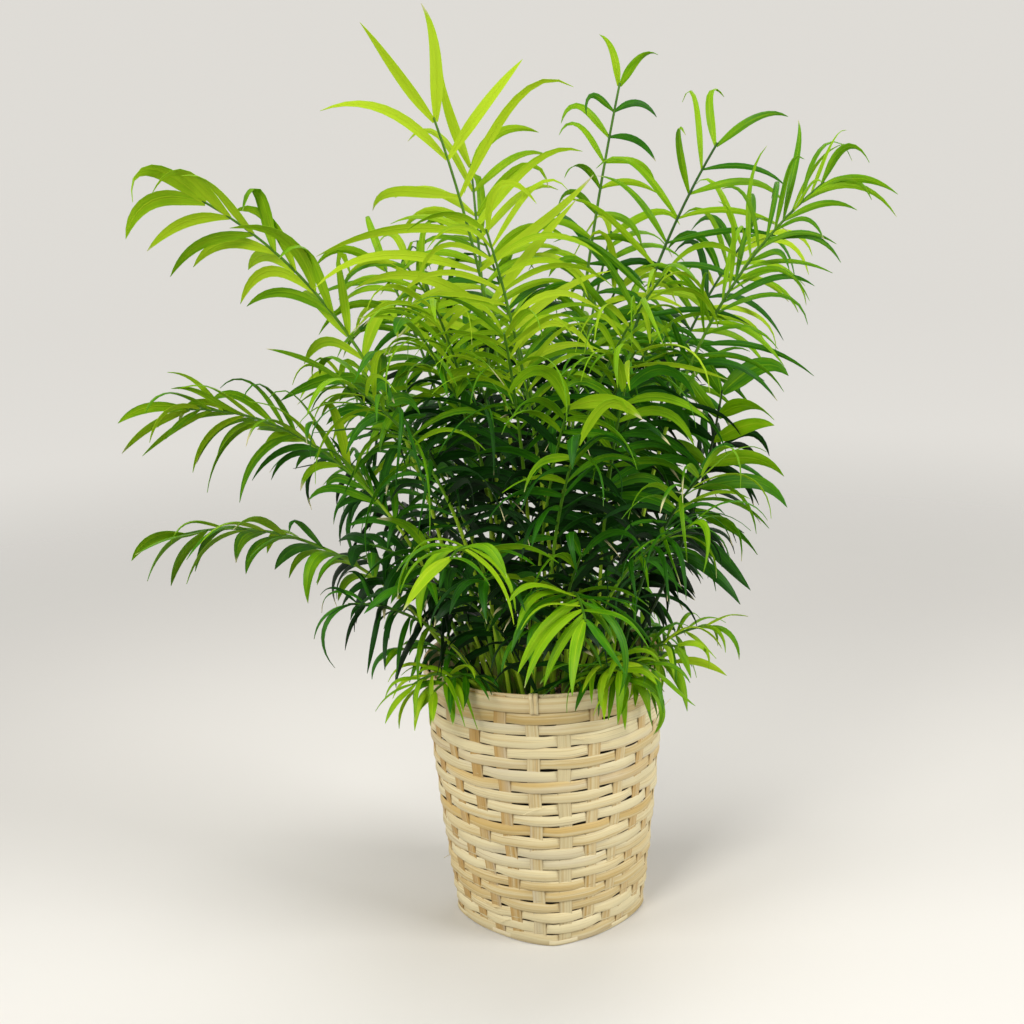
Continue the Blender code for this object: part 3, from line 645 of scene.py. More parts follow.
def bamboo_finish(name, pale, warm, brown):
    """Split bamboo: fine fibres along the strip over slow bands of colour, with a few dark flecks.

    A piece's tone says how warm it is, which on the stakes in front is partly painted shade, how light, where
    its pattern starts and its half width in mm.
    """
    made = Finish(name)
    along, across = made.along_strip()
    warmth, light, start, half = made.tone()

    def lines(run, rise, shift, **settings):
        """Grain drawn out along the strip, at a scale along it and a scale across it."""
        return made.grain(made.place(along * run, across * rise, start * 61 + shift), **settings)

    fibre = lines(14, 2200, 0, detail=3, roughness=0.6)
    streak, cloud, grey = lines(5, 620, 7), lines(9, 60, 19), lines(6, 90, 43)
    fleck = lines(40, 1500, 31, detail=1)
    edge = abs(across * 1000) / half
    warmer = (warmth + (streak - 0.5) * 1.5 + (cloud - 0.5)).rise(0.0, 1.0)
    colour = made.mix(tint(*pale), tint(*warm), warmer)
    for over, share in (
        ((218, 208, 182), grey.rise(0.54, 0.70) * 0.45),
        (brown, edge.rise(0.86, 1.02) * 0.45),
        (brown, fibre.rise(0.54, 0.74) * 0.46),
        (brown, fleck.rise(0.72, 0.80) * 0.5),
    ):
        colour = made.mix(colour, tint(*over), share)
    shade = made.reading("ShaderNodeCombineColor", None, {0: light, 1: light, 2: light})
    return made.give(
        Base_Color=made.mix(colour, shade, 1.0, "MULTIPLY"),
        Roughness=0.42 + fibre * 0.25,
        Normal=made.relief(fibre * 0.6 + streak * 0.4, 0.00025, 0.7),
    )


def leaf_finish():
    """A leaflet: a pale rib, fine veins along it, and a dull underside.

    Its tone says how young and how lit it looks, with painted light high up and outside and painted shade in
    the plant's middle, its own chance shade and how dry its tip is.
    """
    made = Finish("palm_leaf", Coat_Weight=0.03, Coat_Roughness=0.25, Specular_IOR_Level=0.14)
    along, across = made.along_strip()
    youth, chance, dry, _ = made.tone()
    under = across.rise(0.99, 1.01)
    patch = made.grain(made.place(along * 3, across * 2, chance * 40))
    vein = made.grain(made.place(along * 0.8, across * 40, chance * 17), roughness=0.6)
    rib = 1 - (abs(across.part() - 0.5) * 2).rise(0.03, 0.13)
    age = youth + (chance - 0.5) * 0.30 + (patch - 0.5) * 0.30 - along * 0.05
    green = made.ramp(
        age + (0.5 - vein) * 0.55 + rib * 0.10 + under * 0.09,
        (0.0, (3, 26, 0)),
        (0.25, (16, 68, 1)),
        (0.5, (56, 124, 3)),
        (0.75, (142, 190, 14)),
        (1.0, (196, 222, 40)),
    )
    tip = (along + (patch - 0.5) * 0.2 + dry * 0.35).rise(1.06, 1.18)
    made.let_light_through(tint(160, 212, 24), 0.02 + age.rise(0.15, 0.9) * 0.28)
    return made.give(
        Base_Color=made.mix(green, tint(222, 212, 160), tip),
        Roughness=0.38 + patch * 0.14 + under * 0.2,
        Normal=made.relief(vein * 0.5 + rib * 0.8, 0.0004, 0.6),
    )


def stalk_finish():
    """Stalks and canes: green with fine lines along them, paler bloom and, on canes, ring scars.

    Their tone says how young and how light they look, darker towards their foot, their chance shade and how
    far they are dead sheath.
    """
    made = Finish("palm_stalk", Coat_Weight=0.05, Coat_Roughness=0.35, Specular_IOR_Level=0.2)
    along, across = made.along_strip()
    youth, chance, sheath, _ = made.tone()
    line = made.grain(made.place(along * 30, across * 30, chance * 23), detail=3)
    cloud = made.grain(made.spot(), scale=90)
    colour = made.ramp(
        youth + (cloud - 0.5) * 0.3,
        (0.0, (18, 34, 16)),
        (0.35, (42, 88, 14)),
        (0.7, (106, 156, 24)),
        (1.0, (172, 204, 48)),
    )
    colour = made.mix(colour, tint(160, 190, 60), line.rise(0.55, 0.75) * 0.3)
    return made.give(
        Base_Color=made.mix(colour, tint(126, 98, 62), sheath * (0.55 + cloud * 0.5)),
        Roughness=0.34 + cloud * 0.2 + sheath * 0.25,
        Normal=made.relief(line, 0.0003, 0.6),
    )


def soil_finish():
    made = Finish("potting_earth", Roughness=0.95)
    crumb = made.grain(made.spot(), scale=420, detail=4, roughness=0.65)
    patch = made.grain(made.spot(), scale=60)
    stops = ((0.3, (20, 14, 10)), (0.52, (46, 32, 22)), (0.66, (86, 62, 42)), (0.8, (128, 104, 78)))
    colour = made.ramp(crumb * 0.7 + patch * 0.3, *stops)
    return made.give(Base_Color=colour, Normal=made.relief(crumb, 0.003, 0.9))


def bark_finish():
    """Bark chips, which turn to pale perlite where their tone is light."""
    made = Finish("bark_chip", Roughness=0.85)
    warmth, light, *_ = made.tone()
    grain = made.grain(made.spot(), scale=260, detail=4, roughness=0.6)
    bark = made.mix(tint(52, 34, 22), tint(138, 98, 62), (grain + (warmth - 0.5) * 0.6).rise(0.3, 0.8))
    colour = made.mix(bark, tint(206, 196, 178), light)
    return made.give(Base_Color=colour, Normal=made.relief(grain, 0.001, 0.8))


def pot_finish():
    made = Finish("nursery_pot_plastic")
    scuff = made.grain(made.spot(), scale=120, detail=4, roughness=0.7)
    dust = made.grain(made.spot(), scale=24, detail=3)
    worn = scuff.rise(0.45, 0.75) * dust.rise(0.35, 0.7)
    return made.give(
        Base_Color=made.mix(tint(24, 24, 25), tint(52, 49, 46), worn),
        Roughness=0.38 + scuff * 0.3,
        Normal=made.relief(scuff, 0.0002, 0.5),
    )


def floor_finish():
    """The pale floor and wall, which give back less light than they show, so that the plant keeps its shade.

    Far off the pale sky shows through them and evens them out.
    """
    made = Finish("pale_floor", Roughness=0.9, Specular_IOR_Level=0.0)
    seen = made.seen()
    distance = made.reading("ShaderNodeVectorMath", {"operation": "LENGTH"}, {0: made.spot()}, output="Value")
    pale = made.mix(tint(231, 228, 222), tint(168, 166, 162), distance.rise(0.3, 1.6))
    return made.give(
        Base_Color=made.mix(tint(150, 148, 144), pale, seen),
        Alpha=1 - distance.rise(0.35, 1.7) * seen * 0.8,
    )


# --- making -------------------------------------------------------------------------------------


def choose(*pieces):
    """Selects these pieces and nothing else, the first of them active."""
    bpy.ops.object.select_all(action="DESELECT")
    for piece in pieces:
        piece.select_set(True)
    if pieces:
        bpy.context.view_layer.objects.active = pieces[0]


def named(name):
    piece = bpy.context.object
    piece.name = piece.data.name = name
    return piece


def copied(piece):
    """A copy of a piece with its own mesh."""
    copy = piece.copy()
    copy.data = piece.data.copy()
    bpy.context.collection.objects.link(copy)
    return copy


def joined(name, pieces):
    choose(*pieces)
    bpy.ops.object.join()
    return named(name)


def flat_strip(name, long, wide):
    """A flat square about the origin, one across, divided along and across, with its UV map."""
    choose()
    bpy.ops.mesh.primitive_grid_add(x_subdivisions=long, y_subdivisions=wide, size=1)
    return named(name)


def edit(piece, operator, **settings):
    """Runs an operator in edit mode on all of a piece."""
    choose(piece)
    bpy.ops.object.mode_set(mode="EDIT")
    bpy.ops.mesh.select_all(action="SELECT")
    operator(**settings)
    bpy.ops.object.mode_set(mode="OBJECT")


def merge(piece, distance):
    edit(piece, bpy.ops.mesh.remove_doubles, threshold=distance)


def face_out(piece):
    edit(piece, bpy.ops.mesh.normals_make_consistent, inside=False)


def close_edges(piece, close):
    """Selects the open edges of a piece in edit mode, closes them and turns all its faces outwards."""
    choose(piece)
    bpy.ops.object.mode_set(mode="EDIT")
    bpy.ops.mesh.select_mode(type="EDGE")
    bpy.ops.mesh.select_all(action="DESELECT")
    bpy.ops.mesh.select_non_manifold()
    close()
    bpy.ops.object.mode_set(mode="OBJECT")
    face_out(piece)


def apply(piece, kind, **settings):
    """Adds a modifier and applies it."""
    choose(piece)
    modifier = piece.modifiers.new(kind, kind)
    for name, value in settings.items():
        setattr(modifier, name, value)
    bpy.ops.object.modifier_apply(modifier=modifier.name)


def smooth(piece, degrees=50):
    choose(piece)
    bpy.ops.object.shade_smooth_by_angle(angle=math.radians(degrees))


def paint(piece, tone):
    """Gives every point of a piece one tone."""
    layer = piece.data.color_attributes.new("tone", "FLOAT_COLOR", "POINT")
    layer.data.foreach_set("color", tone * len(piece.data.vertices))


def scale_uv(piece, long, wide=1.0, middle=0.0):
    for corner in piece.data.uv_layers.active.data:
        corner.uv = (corner.uv[0] * long, (corner.uv[1] - middle) * wide)


class Frames(dict):
    """What a line gives at each share of its length, worked out once. Its middle comes first."""

    def __init__(self, line):
        self.line = line

    def __missing__(self, share):
        self[share] = self.line(share)
        return self[share]

    def length(self):
        middles = [self[share][0] for share in sorted(self)]
        return sum((b - a).length for a, b in zip(middles, middles[1:]))


def lay_strip(name, line, steps, width, thick, tone, finish, closed=False, rows=2, crown=0.0):
    """A split strip along a line, which gives its middle, outer side, way across and half width."""
    piece = flat_strip(name, steps, rows)
    frames = Frames(line)
    for vert in piece.data.vertices:
        place = vert.co.y * 2
        middle, out, across, half = frames[round(vert.co.x + 0.5, 6)]
        vert.co = middle + across * (half * place) + out * (crown * (1 - place * place))
    scale_uv(piece, frames.length(), width, 0.5)
    if closed:
        merge(piece, 1e-5)
    apply(piece, "SOLIDIFY", thickness=thick, offset=0.0)
    corner = {"limit_method": "ANGLE", "angle_limit": math.radians(50)}
    apply(piece, "BEVEL", width=thick * 0.28, segments=1, **corner)
    smooth(piece)
    paint(piece, (*tone, width * 500))
    piece.data.materials.append(finish)
    return piece


def tube(name, line, steps, sides, finish, tone):
    """A closed round rod along a line, which gives its middle and its two half-thickness arrows."""
    piece = flat_strip(name, steps, sides)
    frames = Frames(line)
    layer = piece.data.color_attributes.new("tone", "FLOAT_COLOR", "POINT")
    for vert, colour in zip(piece.data.vertices, layer.data):
        share, turn = round(vert.co.x + 0.5, 6), (vert.co.y + 0.5) * math.tau
        middle, side, top = frames[share]
        vert.co = middle + side * math.cos(turn) + top * math.sin(turn)
        colour.color = tone(share)
    scale_uv(piece, frames.length() * 10)
    merge(piece, 1e-6)
    close_edges(piece, lambda: bpy.ops.mesh.fill_holes(sides=0))
    smooth(piece)
    piece.data.materials.append(finish)
    return piece


def hold(piece, slot, *nodes):
    """Makes a piece part of the one body and hides the frame's solids that it stands for."""
    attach(piece, "root")
    if nodes:
        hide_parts(*nodes)


# --- basket -------------------------------------------------------------------------------------

STAKES = 24
FIRST_STAKE = 7.5  # degrees
STAKE_THICK = 0.0005
STAKE_INSET = 0.0012
STAKE_STEPS = 45
ROWS = 21
ROWS_LOW = 0.0008
ROWS_HIGH = BASKET_HEIGHT - HOOP_HEIGHT
ROW_PITCH = (ROWS_HIGH - ROWS_LOW) / ROWS
WEAVER_WIDTHS = (0.0075, 0.0081, 0.0085, 0.0090)
WEAVER_THICK = 0.0005
WEAVER_OUT = 0.0006  # the inset of a weaver's middle where it passes outside a stake
WEAVER_IN = 0.0018
WEAVER_START = 262.5  # degrees, at the back
WEAVER_LAP = 0.04  # how far a weaver leans, its lower edge out over the one below
FOOT_BAND = 0.0036
BASE_LOW, BASE_HIGH = 0.0006, 0.0016
BASE_STEPS = 60
BASE_EDGE = 0.062  # beyond the outermost crossing of the base's strips
HOOP_THICK = HOOP * 0.75
STRAND_WIDTH = TIE_WIDTH * 0.46  # of the two strips that make a tie
STRAND_THICK = TIE * 0.8
STRAND_CROWN = 0.0002
STRAND_STEPS = 48
WEAVER_STEPS = 240
FOOT_STEPS = 160
STAKE_STRIP_STEPS = 200
HOOP_STEPS = 192
CROSS_FROM, CROSS_SPAN = 0.18, 0.64  # where between two stakes a weaver crosses the wall
FIBRE_WIDTH = 0.0004
FIBRE_THICK = 0.0002
FIBRE_STEPS = 6
# Where splinters stand out most: degrees round the basket and height.
SPLINTERS = (
    (-118, 0.016), (-127, 0.022), (-133, 0.010), (-62, 0.020), (-48, 0.178), (-44, 0.186), (-30, 0.183),
    (70, 0.170), (160, 0.030),
)


def wall_point(angle, z, inset):
    return polar(wall_radius(angle, z, inset), angle, z)


def wall_frame(angle, z):
    """The wall's outer side and the way round it, at an angle and a height."""
    step = 0.01
    around = (wall_point(angle + step, z, 0) - wall_point(angle - step, z, 0)).normalized()
    return around.cross(UP), around


def lapped(out):
    """The way across a weaver that leans over the one below."""
    return (UP - out * WEAVER_LAP).normalized()


def ripple(draw, reach, waves=(3, 5, 8, 13)):
    """A gentle wave round the basket that closes on itself."""
    parts = [(k, draw.uniform(0.4, 1.0) * reach / len(waves) * 1.6, draw.uniform(0, math.tau)) for k in waves]
    return lambda angle: sum(size * math.sin(k * angle + phase) for k, size, phase in parts)


def passes_inside(stake, row):
    """Whether a row's weaver passes behind a stake: one in three, and one further on in each row down."""
    return (stake - (ROWS - 1 - row) - 1) % 3 == 0


def weave_row(row, draw, finish):
    """One row's weaver, round the whole basket."""
    width = draw.choice(WEAVER_WIDTHS)
    middle = ROWS_LOW + (row + 0.5) * ROW_PITCH
    drift, swell = ripple(draw, 0.0007), ripple(draw, 0.0003, (4, 7, 11))
    bow = [draw.uniform(0.0, 0.0003) for _ in range(STAKES)]
    pinch = [draw.uniform(-0.04, 0.17) for _ in range(STAKES)]

    def line(share):
        angle = math.tau * share - math.radians(WEAVER_START)
        place = (math.degrees(angle) - FIRST_STAKE) / (360 / STAKES)
        stake = math.floor(place)
        sides = [passes_inside(stake, row), passes_inside(stake + 1, row)]
        step = place - stake
        arch = math.sin(math.pi * step)
        inset = blend(WEAVER_OUT, WEAVER_IN, blend(*sides, ease((step - CROSS_FROM) / CROSS_SPAN)))
        if not any(sides):
            inset -= bow[stake % STAKES] * arch
        z = max(middle + drift(angle), ROWS_LOW + width / 2)
        inset -= swell(angle) * (1 - blend(*sides, step))
        narrow = 1 - max(pinch[stake % STAKES], 0.0) * arch**2 * (sides[0] != sides[1])
        out, _ = wall_frame(angle, z)
        return wall_point(angle, z, inset), out, lapped(out), width / 2 * narrow

    low = 1 - row / (ROWS - 1)
    warmth = keep(draw.gauss(0.32 + 0.18 * low**3, 0.22), 0.02, 0.95)
    tone = (warmth, draw.uniform(0.90, 1.0), draw.random())
    name = f"weaver_{row + 1:02d}"
    return lay_strip(name, line, WEAVER_STEPS, width, WEAVER_THICK, tone, finish, closed=True)


def foot_band(draw, finish):
    """A narrow strip that runs round the basket's foot."""
    wobble = ripple(draw, 0.0003)

    def line(share):
        angle = math.tau * share + 0.4
        z = FOOT_BAND / 2 + GAP + 0.0001
        out, _ = wall_frame(angle, z)
        return wall_point(angle, z, 0.0004 + wobble(angle)), out, lapped(out), FOOT_BAND / 2

    tone = (0.34, 0.96, draw.random())
    return lay_strip("foot_band", line, FOOT_STEPS, FOOT_BAND, WEAVER_THICK, tone, finish, closed=True)


def rounded(points, times):
    """A line of points with its corners cut off, which keeps its two ends."""
    for _ in range(times):
        cut = [points[0]]
        for a, b in zip(points, points[1:]):
            cut += [[p.lerp(q, share) for p, q in zip(a, b)] for share in (0.25, 0.75)]
        points = cut + [points[-1]]
    return points


def line_through(points, half):
    """A line through (middle, across) points for lay_strip, at shares of its whole length."""
    reach = [0.0]
    for a, b in zip(points, points[1:]):
        reach.append(reach[-1] + (b[0] - a[0]).length)

    def line(share):
        goal = share * reach[-1]
        k = 0
        while k < len(points) - 2 and reach[k + 1] < goal:
            k += 1
        span = reach[k + 1] - reach[k]
        step = (goal - reach[k]) / span if span else 0.0
        middle, across = (a.lerp(b, step) for a, b in zip(points[k], points[k + 1]))
        across.normalize()
        along = (points[k + 1][0] - points[k][0]).normalized()
        return middle, along.cross(across).normalized(), across, half

    return line


def stake_warmth_and_shade(angles):
    """The stakes in front are pale in the middle, and warmer and darker on either side of it: partly their
    own colour, partly painted shade where they sit recessed.
    """
    front = min((math.degrees(angle - math.tau) for angle in angles), key=lambda turn: abs(turn + 90))
    return 0.12 + 0.75 * ease((-97 - front) / 16) + 0.24 * ease((front + 76) / 24)


def lay_stake(number, draw, finish):
    """A strip that crosses the base and stands up either side as two stakes."""
    way, place = divmod(number, STAKES // 4)
    turns = [math.radians((k - 2.5) * 360 / STAKES) for k in range(STAKES // 4)]
    middle_angle = math.radians(45 + 90 * way)
    ends = middle_angle + turns[place], middle_angle + math.pi - turns[place]
    run = polar(1, middle_angle)
    cross = UP.cross(run)

    def up_wall(angle, side):
        drift = ripple(draw, 0.010, (2, 5))
        points = []
        for step in range(STAKE_STEPS):
            z = blend(BASKET_HEIGHT - 0.0008, 0.0022, step / (STAKE_STEPS - 1))
            turn = angle + drift(z * 20)
            points.append([wall_point(turn, z, STAKE_INSET), wall_frame(turn, z)[1] * side])
        return points

    down, up = up_wall(ends[0], 1), up_wall(ends[1], -1)
    starts = [wall_point(angle, 0.0008, STAKE_INSET) for angle in ends]
    crossings = sorted(wall_radius(middle_angle + turn, 0, STAKE_INSET) * math.sin(turn) for turn in turns)
    heights = [(c, float((k + place + way) % 2)) for k, c in enumerate(crossings)]
    heights = [(-BASE_EDGE, 0.5), *heights, (BASE_EDGE, 0.5)]
    base = []
    for step in range(1, BASE_STEPS):
        spot = starts[0].lerp(starts[1], step / BASE_STEPS)
        lane = -spot.dot(run)
        height = 0.5
        for (a, height_a), (b, height_b) in zip(heights, heights[1:]):
            if a <= lane <= b:
                height = blend(height_a, height_b, ease((lane - a) / (b - a)))
                break
        spot.z = blend(BASE_LOW, BASE_HIGH, height)
        base.append([spot, cross])
    width = draw.uniform(0.0084, 0.0096)
    line = line_through(rounded(down + base + up[::-1], 2), width / 2)
    # Warmer and darker either side of the front: partly painted shade.
    warmth = keep(draw.gauss(stake_warmth_and_shade(ends), 0.12), 0.1, 0.95)
    tone = (warmth, draw.uniform(0.90, 0.99), draw.random())
    name = f"stake_strip_{number + 1:02d}"
    return lay_strip(name, line, STAKE_STRIP_STEPS, width, STAKE_THICK, tone, finish)


def bend_hoop(name, inset, top, crown, draw, finish):
    """A flat band round the rim."""
    wobble, lean = ripple(draw, 0.0003), ripple(draw, 0.0004, (2, 3, 5))
    low = ROWS_HIGH + GAP
    height = top - low

    def line(share):
        angle = math.tau * share - math.pi / 2 + 0.6
        z = (low + top) / 2 + wobble(angle)
        out, _ = wall_frame(angle, z)
        return wall_point(angle, z, inset - lean(angle)), out, UP, height / 2

    tone = (draw.uniform(0.2, 0.34), draw.uniform(0.95, 1.0), draw.random())
    look = {"closed": True, "rows": 4, "crown": crown}
    return lay_strip(name, line, HOOP_STEPS, height, HOOP_THICK, tone, finish, **look)


def bind_tie(name, degrees, draw, finish):
    """Two narrow strips side by side round both hoops."""
    angle = math.radians(degrees)
    out, around = polar(1, angle), Vector((-math.sin(angle), math.cos(angle), 0))
    outer = RIM_RADIUS - NECK_OUT + 2 * GAP + HOOP + TIE / 2
    inner = wall_radius(angle, ROWS_HIGH, NECK_IN + GAP + HOOP) - GAP - TIE / 2
    low, high = ROWS_HIGH - SLOT_UNDER_NECK / 2, BASKET_HEIGHT + GAP + TIE / 2
    loop = [(outer, (low + high) / 2), (outer + 0.0003, high), (inner, high), (inner, low), (outer, low)]
    strips = []
    for side in SIDES:
        aside = around * (side * TIE_WIDTH * 0.25)
        slant = around * draw.uniform(-0.0005, 0.0005)
        points = [[out * r + aside + slant * (1 if z == high else -1) + UP * z, -around] for r, z in loop]
        line = line_through(rounded(points + points[:1], 3), STRAND_WIDTH / 2)
        tone = (draw.uniform(0.25, 0.5), draw.uniform(0.9, 1.0), draw.random())
        look = {"closed": True, "crown": STRAND_CROWN}
        strip = lay_strip("strand", line, STRAND_STEPS, STRAND_WIDTH, STRAND_THICK, tone, finish, **look)
        strips.append(strip)
    return joined(name, strips)


def stray_fibres(draw, finish):
    """Thin splinters that have come away from the strips, most of them near the foot and the rim."""
    made = []
    anywhere = [(draw.uniform(0, 360), draw.uniform(0.01, 0.18)) for _ in range(10)]
    for degrees, z in (*SPLINTERS, *anywhere):
        angle = math.radians(degrees)
        length = draw.uniform(0.008, 0.017)
        out, around = wall_frame(angle, z)
        way = draw.choice(SIDES)
        lift = draw.uniform(0.10, 0.42)
        rise = draw.uniform(-0.5, 0.5)
        start = wall_point(angle, z, -0.0003)
        across = (UP - out * 0.3).normalized() * way
        points = []
        for share in (step / FIBRE_STEPS for step in range(FIBRE_STEPS + 1)):
            spot = start + around * (way * length * share) + out * (lift * length * share**1.8)
            points.append([spot + UP * (rise * length * share**1.5), across])
        tone = (draw.uniform(0.1, 0.5), 1.0, draw.random())
        line = line_through(points, FIBRE_WIDTH / 2)
        made.append(lay_strip("fibre", line, 8, FIBRE_WIDTH, FIBRE_THICK, tone, finish, rows=1))
    return joined("stray_fibres", made)


def make_basket():
    draw = random.Random(21)
    strip = bamboo_finish("bamboo_weaver", (236, 222, 176), (210, 178, 108), (146, 108, 54))
    stake = bamboo_finish("bamboo_stake", (230, 214, 166), (198, 158, 88), (140, 100, 50))
    rim = bamboo_finish("bamboo_rim", (234, 218, 172), (216, 186, 122), (156, 118, 66))
    for row in range(ROWS):
        hold(weave_row(row, draw, strip), "bamboo_weave", "basket_wall")
    hold(foot_band(draw, strip), "bamboo_weave", "basket_wall")
    for number in range(STAKES // 2):
        hold(lay_stake(number, draw, stake), "bamboo_weave", "basket_wall", "basket_base")
    for name, inset, top, crown in (
        ("outer_hoop", NECK_OUT - GAP - HOOP / 2, BASKET_HEIGHT - OUTER_HOOP_DROP, 0.0005),
        ("inner_hoop", NECK_IN + GAP + HOOP / 2, BASKET_HEIGHT, -0.0003),
    ):
        hold(bend_hoop(name, inset, top, crown, draw, rim), "bamboo_rim", f"rim_{name}")
    for name, degrees in TIE_ANGLES.items():
        hold(bind_tie(f"tie_{name}", degrees, draw, rim), "bamboo_rim", f"rim_tie_{name}")
    hold(stray_fibres(draw, strip), "bamboo_rim")


# --- pot and soil -------------------------------------------------------------------------------

SOIL_INSIDE = pot_radius(SOIL_TOP) - POT_WALL - GAP
SOIL_LOW = POT_BOTTOM + POT_WALL + GAP
SOIL_EDGE = 0.002  # how far under the soil's top its edge lies
SOIL_SMOOTH = 0.012  # the width of the soil's edge, where its lumps run out
SUNK = 0.001  # how far chips and shoots stand in the soil
CHIPS = 190
BARK = ((0.004, 0.010), (0.002, 0.005), (0.0012, 0.0025))  # a chip's length, breadth and thickness
PERLITE = (0.002, 0.0035)
PERLITE_CHANCE = 0.18


def dome(reach):
    """How far the soil's middle stands above its edge."""
    return SOIL_DOME * (1 - (reach / SOIL_INSIDE) ** 2)


def make_soil():
    soil = flat_strip("soil", 40, 96)
    for vert in soil.data.vertices:
        reach, turn = (vert.co.x + 0.5) * SOIL_INSIDE, (vert.co.y + 0.5) * math.tau
        spot = polar(reach, turn)
        lump = noise.noise(spot * 70) * 0.0028 + noise.noise(spot * 230) * 0.0013
        spot.z = SOIL_TOP - SOIL_EDGE + dome(reach) + lump * ease((SOIL_INSIDE - reach) / SOIL_SMOOTH)
        vert.co = spot
    merge(soil, 1e-5)

    def reach_down():
        shrink = (pot_radius(SOIL_LOW) - POT_WALL - GAP) / SOIL_INSIDE
        down = {"value": (0, 0, SOIL_LOW - SOIL_TOP + SOIL_EDGE)}
        bpy.ops.mesh.extrude_region_move(TRANSFORM_OT_translate=down)
        bpy.ops.transform.resize(value=(shrink, shrink, 1), center_override=(0, 0, 0))
        bpy.ops.mesh.fill()

    close_edges(soil, reach_down)
    smooth(soil, 60)
    soil.data.materials.append(soil_finish())
    hold(soil, "earth", "potting_soil")


def strew_chips():
    """Bark chips and a little perlite, strewn over the soil."""
    draw = random.Random(5)
    choose()
    bpy.ops.mesh.primitive_cube_add(size=1)
    chip = named("chip")
    apply(chip, "BEVEL", width=0.14, segments=1)
    chips = []
    for _ in range(CHIPS):
        reach, turn = (SOIL_INSIDE - 0.005) * math.sqrt(draw.random()), draw.uniform(0, math.tau)
        perlite = draw.random() < PERLITE_CHANCE
        size = [draw.uniform(*PERLITE)] * 3 if perlite else [draw.uniform(*span) for span in BARK]
        place = polar(reach, turn, SOIL_TOP - SUNK + dome(reach))
        spin, tilt = draw.uniform(0, math.tau), draw.uniform(-0.5, 0.5)
        turned = Quaternion((0, 0, 1), spin) @ Quaternion((1, 0, 0), tilt)
        piece = copied(chip)
        for vert in piece.data.vertices:
            corner = Vector(a * b * draw.uniform(0.85, 1.15) for a, b in zip(vert.co, Vector(size)))
            vert.co = place + turned @ corner
        paint(piece, (draw.random(), 0.85 if perlite else 0.0, draw.random(), 1.0))
        chips.append(piece)
    bpy.data.objects.remove(chip)
    chips = joined("bark_chips", chips)
    face_out(chips)
    smooth(chips, 30)
    chips.data.materials.append(bark_finish())
    hold(chips, "earth")


def finish_pot():
    plastic = pot_finish()
    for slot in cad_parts["nursery_pot"].material_slots:
        slot.material = plastic


# --- plant --------------------------------------------------------------------------------------

LEAF_STEPS = 11
LEAF_THICK = 0.0004
LEAF_FOLD = 0.26  # how far a leaflet's edges hang below its rib, as a share of its half width
LEAF_POINT = 0.00012  # half the width of its point
LEAF_SUNK = 0.0006  # how far its foot stands in the stalk
CANE_SUNK = 0.006
STEM_STEPS = 26
STEM_SIDES = 8
CANE_RINGS = (0.12, 0.27, 0.42, 0.58, 0.74, 0.88)
# How far leaflets turn aside, lift and curl down, each as a middle and a usual reach, in radians.
STRAYS = ((0, 0.14), (0.03, 0.13), (0.16, 0.34))
# Fronds that stand out from the rest: how young and how lit they look, with painted light and shade, and how
# dark their stalks are.
YOUTH_AND_LIGHT = {
    1: 0.95, 2: 0.62, 3: 0.66, 5: 0.58, 9: 0.78, 10: 0.72, 12: 0.80, 13: 0.50, 17: 0.66, 18: 0.64, 20: 0.84,
    22: 0.86, 24: 0.84, 25: 0.74, 26: 0.86, 28: 0.72, 29: 0.54, 30: 0.70, 32: 0.82,
}
DARK_STALKS = {30: 0.05, 31: 0.2, 5: 0.3, 33: 0.25}
# How wide a frond's leaflets look next to the room that they have.
SLIM = {1: 0.80, 13: 0.90, 17: 0.92, 18: 0.82, 20: 1.05, 22: 0.92, 26: 0.78, 30: 1.10}
BROAD_ENDS = {1: 1.3}
SPARSE = (1, 5, 9, 13, 17, 20, 22, 30)  # fronds whose leaflets stand well apart
FANS = (26,)  # fronds whose leaflets stand close, as in a fan
FINER_CHANCE = 0.9
# Kinds of shoot: the spans of its foot's distance from the middle, of how it leaves and ends, of its
# length and of its leaflets' length and width, and then their spacing.
HANGING = ((0.034, 0.064), (14, 26), (92, 124), (0.080, 0.125), (0.034, 0.050), (0.0052, 0.0068), 0.011)
SPRAYING = ((0.008, 0.056), (3, 16), (40, 92), (0.120, 0.240), (0.048, 0.070), (0.0056, 0.0080), 0.0155)
TALL = ((0.004, 0.050), (2, 8), (16, 48), (0.240, 0.350), (0.062, 0.086), (0.0066, 0.0090), 0.0125)
SHOOT_KINDS = (TALL, HANGING, SPRAYING, HANGING, TALL, HANGING)
SHOOTS = 230
SHOOT_TRIES = 60
SHOOT_LATE = 1.5
OVER_THE_RIM = ((190, 232), (298, 345), (0, 360))  # where most of the hanging ones stand, in degrees
HANGING_REACH = 0.098  # how far out at either side a hanging one may end, so that the rim shows there
OTHER_REACH = 0.085  # how far out on the right another may end
FRONT = -95  # degrees, where the rim's front tie shows between the hanging ones
FRONT_HALF = 34


def master_leaf():
    """A leaflet one long and two wide, thickened, whose underside has its own UV row."""
    leaf = flat_strip("leaf", LEAF_STEPS, 2)
    for vert in leaf.data.vertices:
        vert.co = (vert.co.x + 0.5, vert.co.y * 2, 0)
    apply(leaf, "SOLIDIFY", thickness=0.01, offset=0.0)
    for face in leaf.data.polygons:
        if face.normal.z < -0.5:
            for corner in face.loop_indices:
                leaf.data.uv_layers.active.data[corner].uv.y += 1
    return leaf


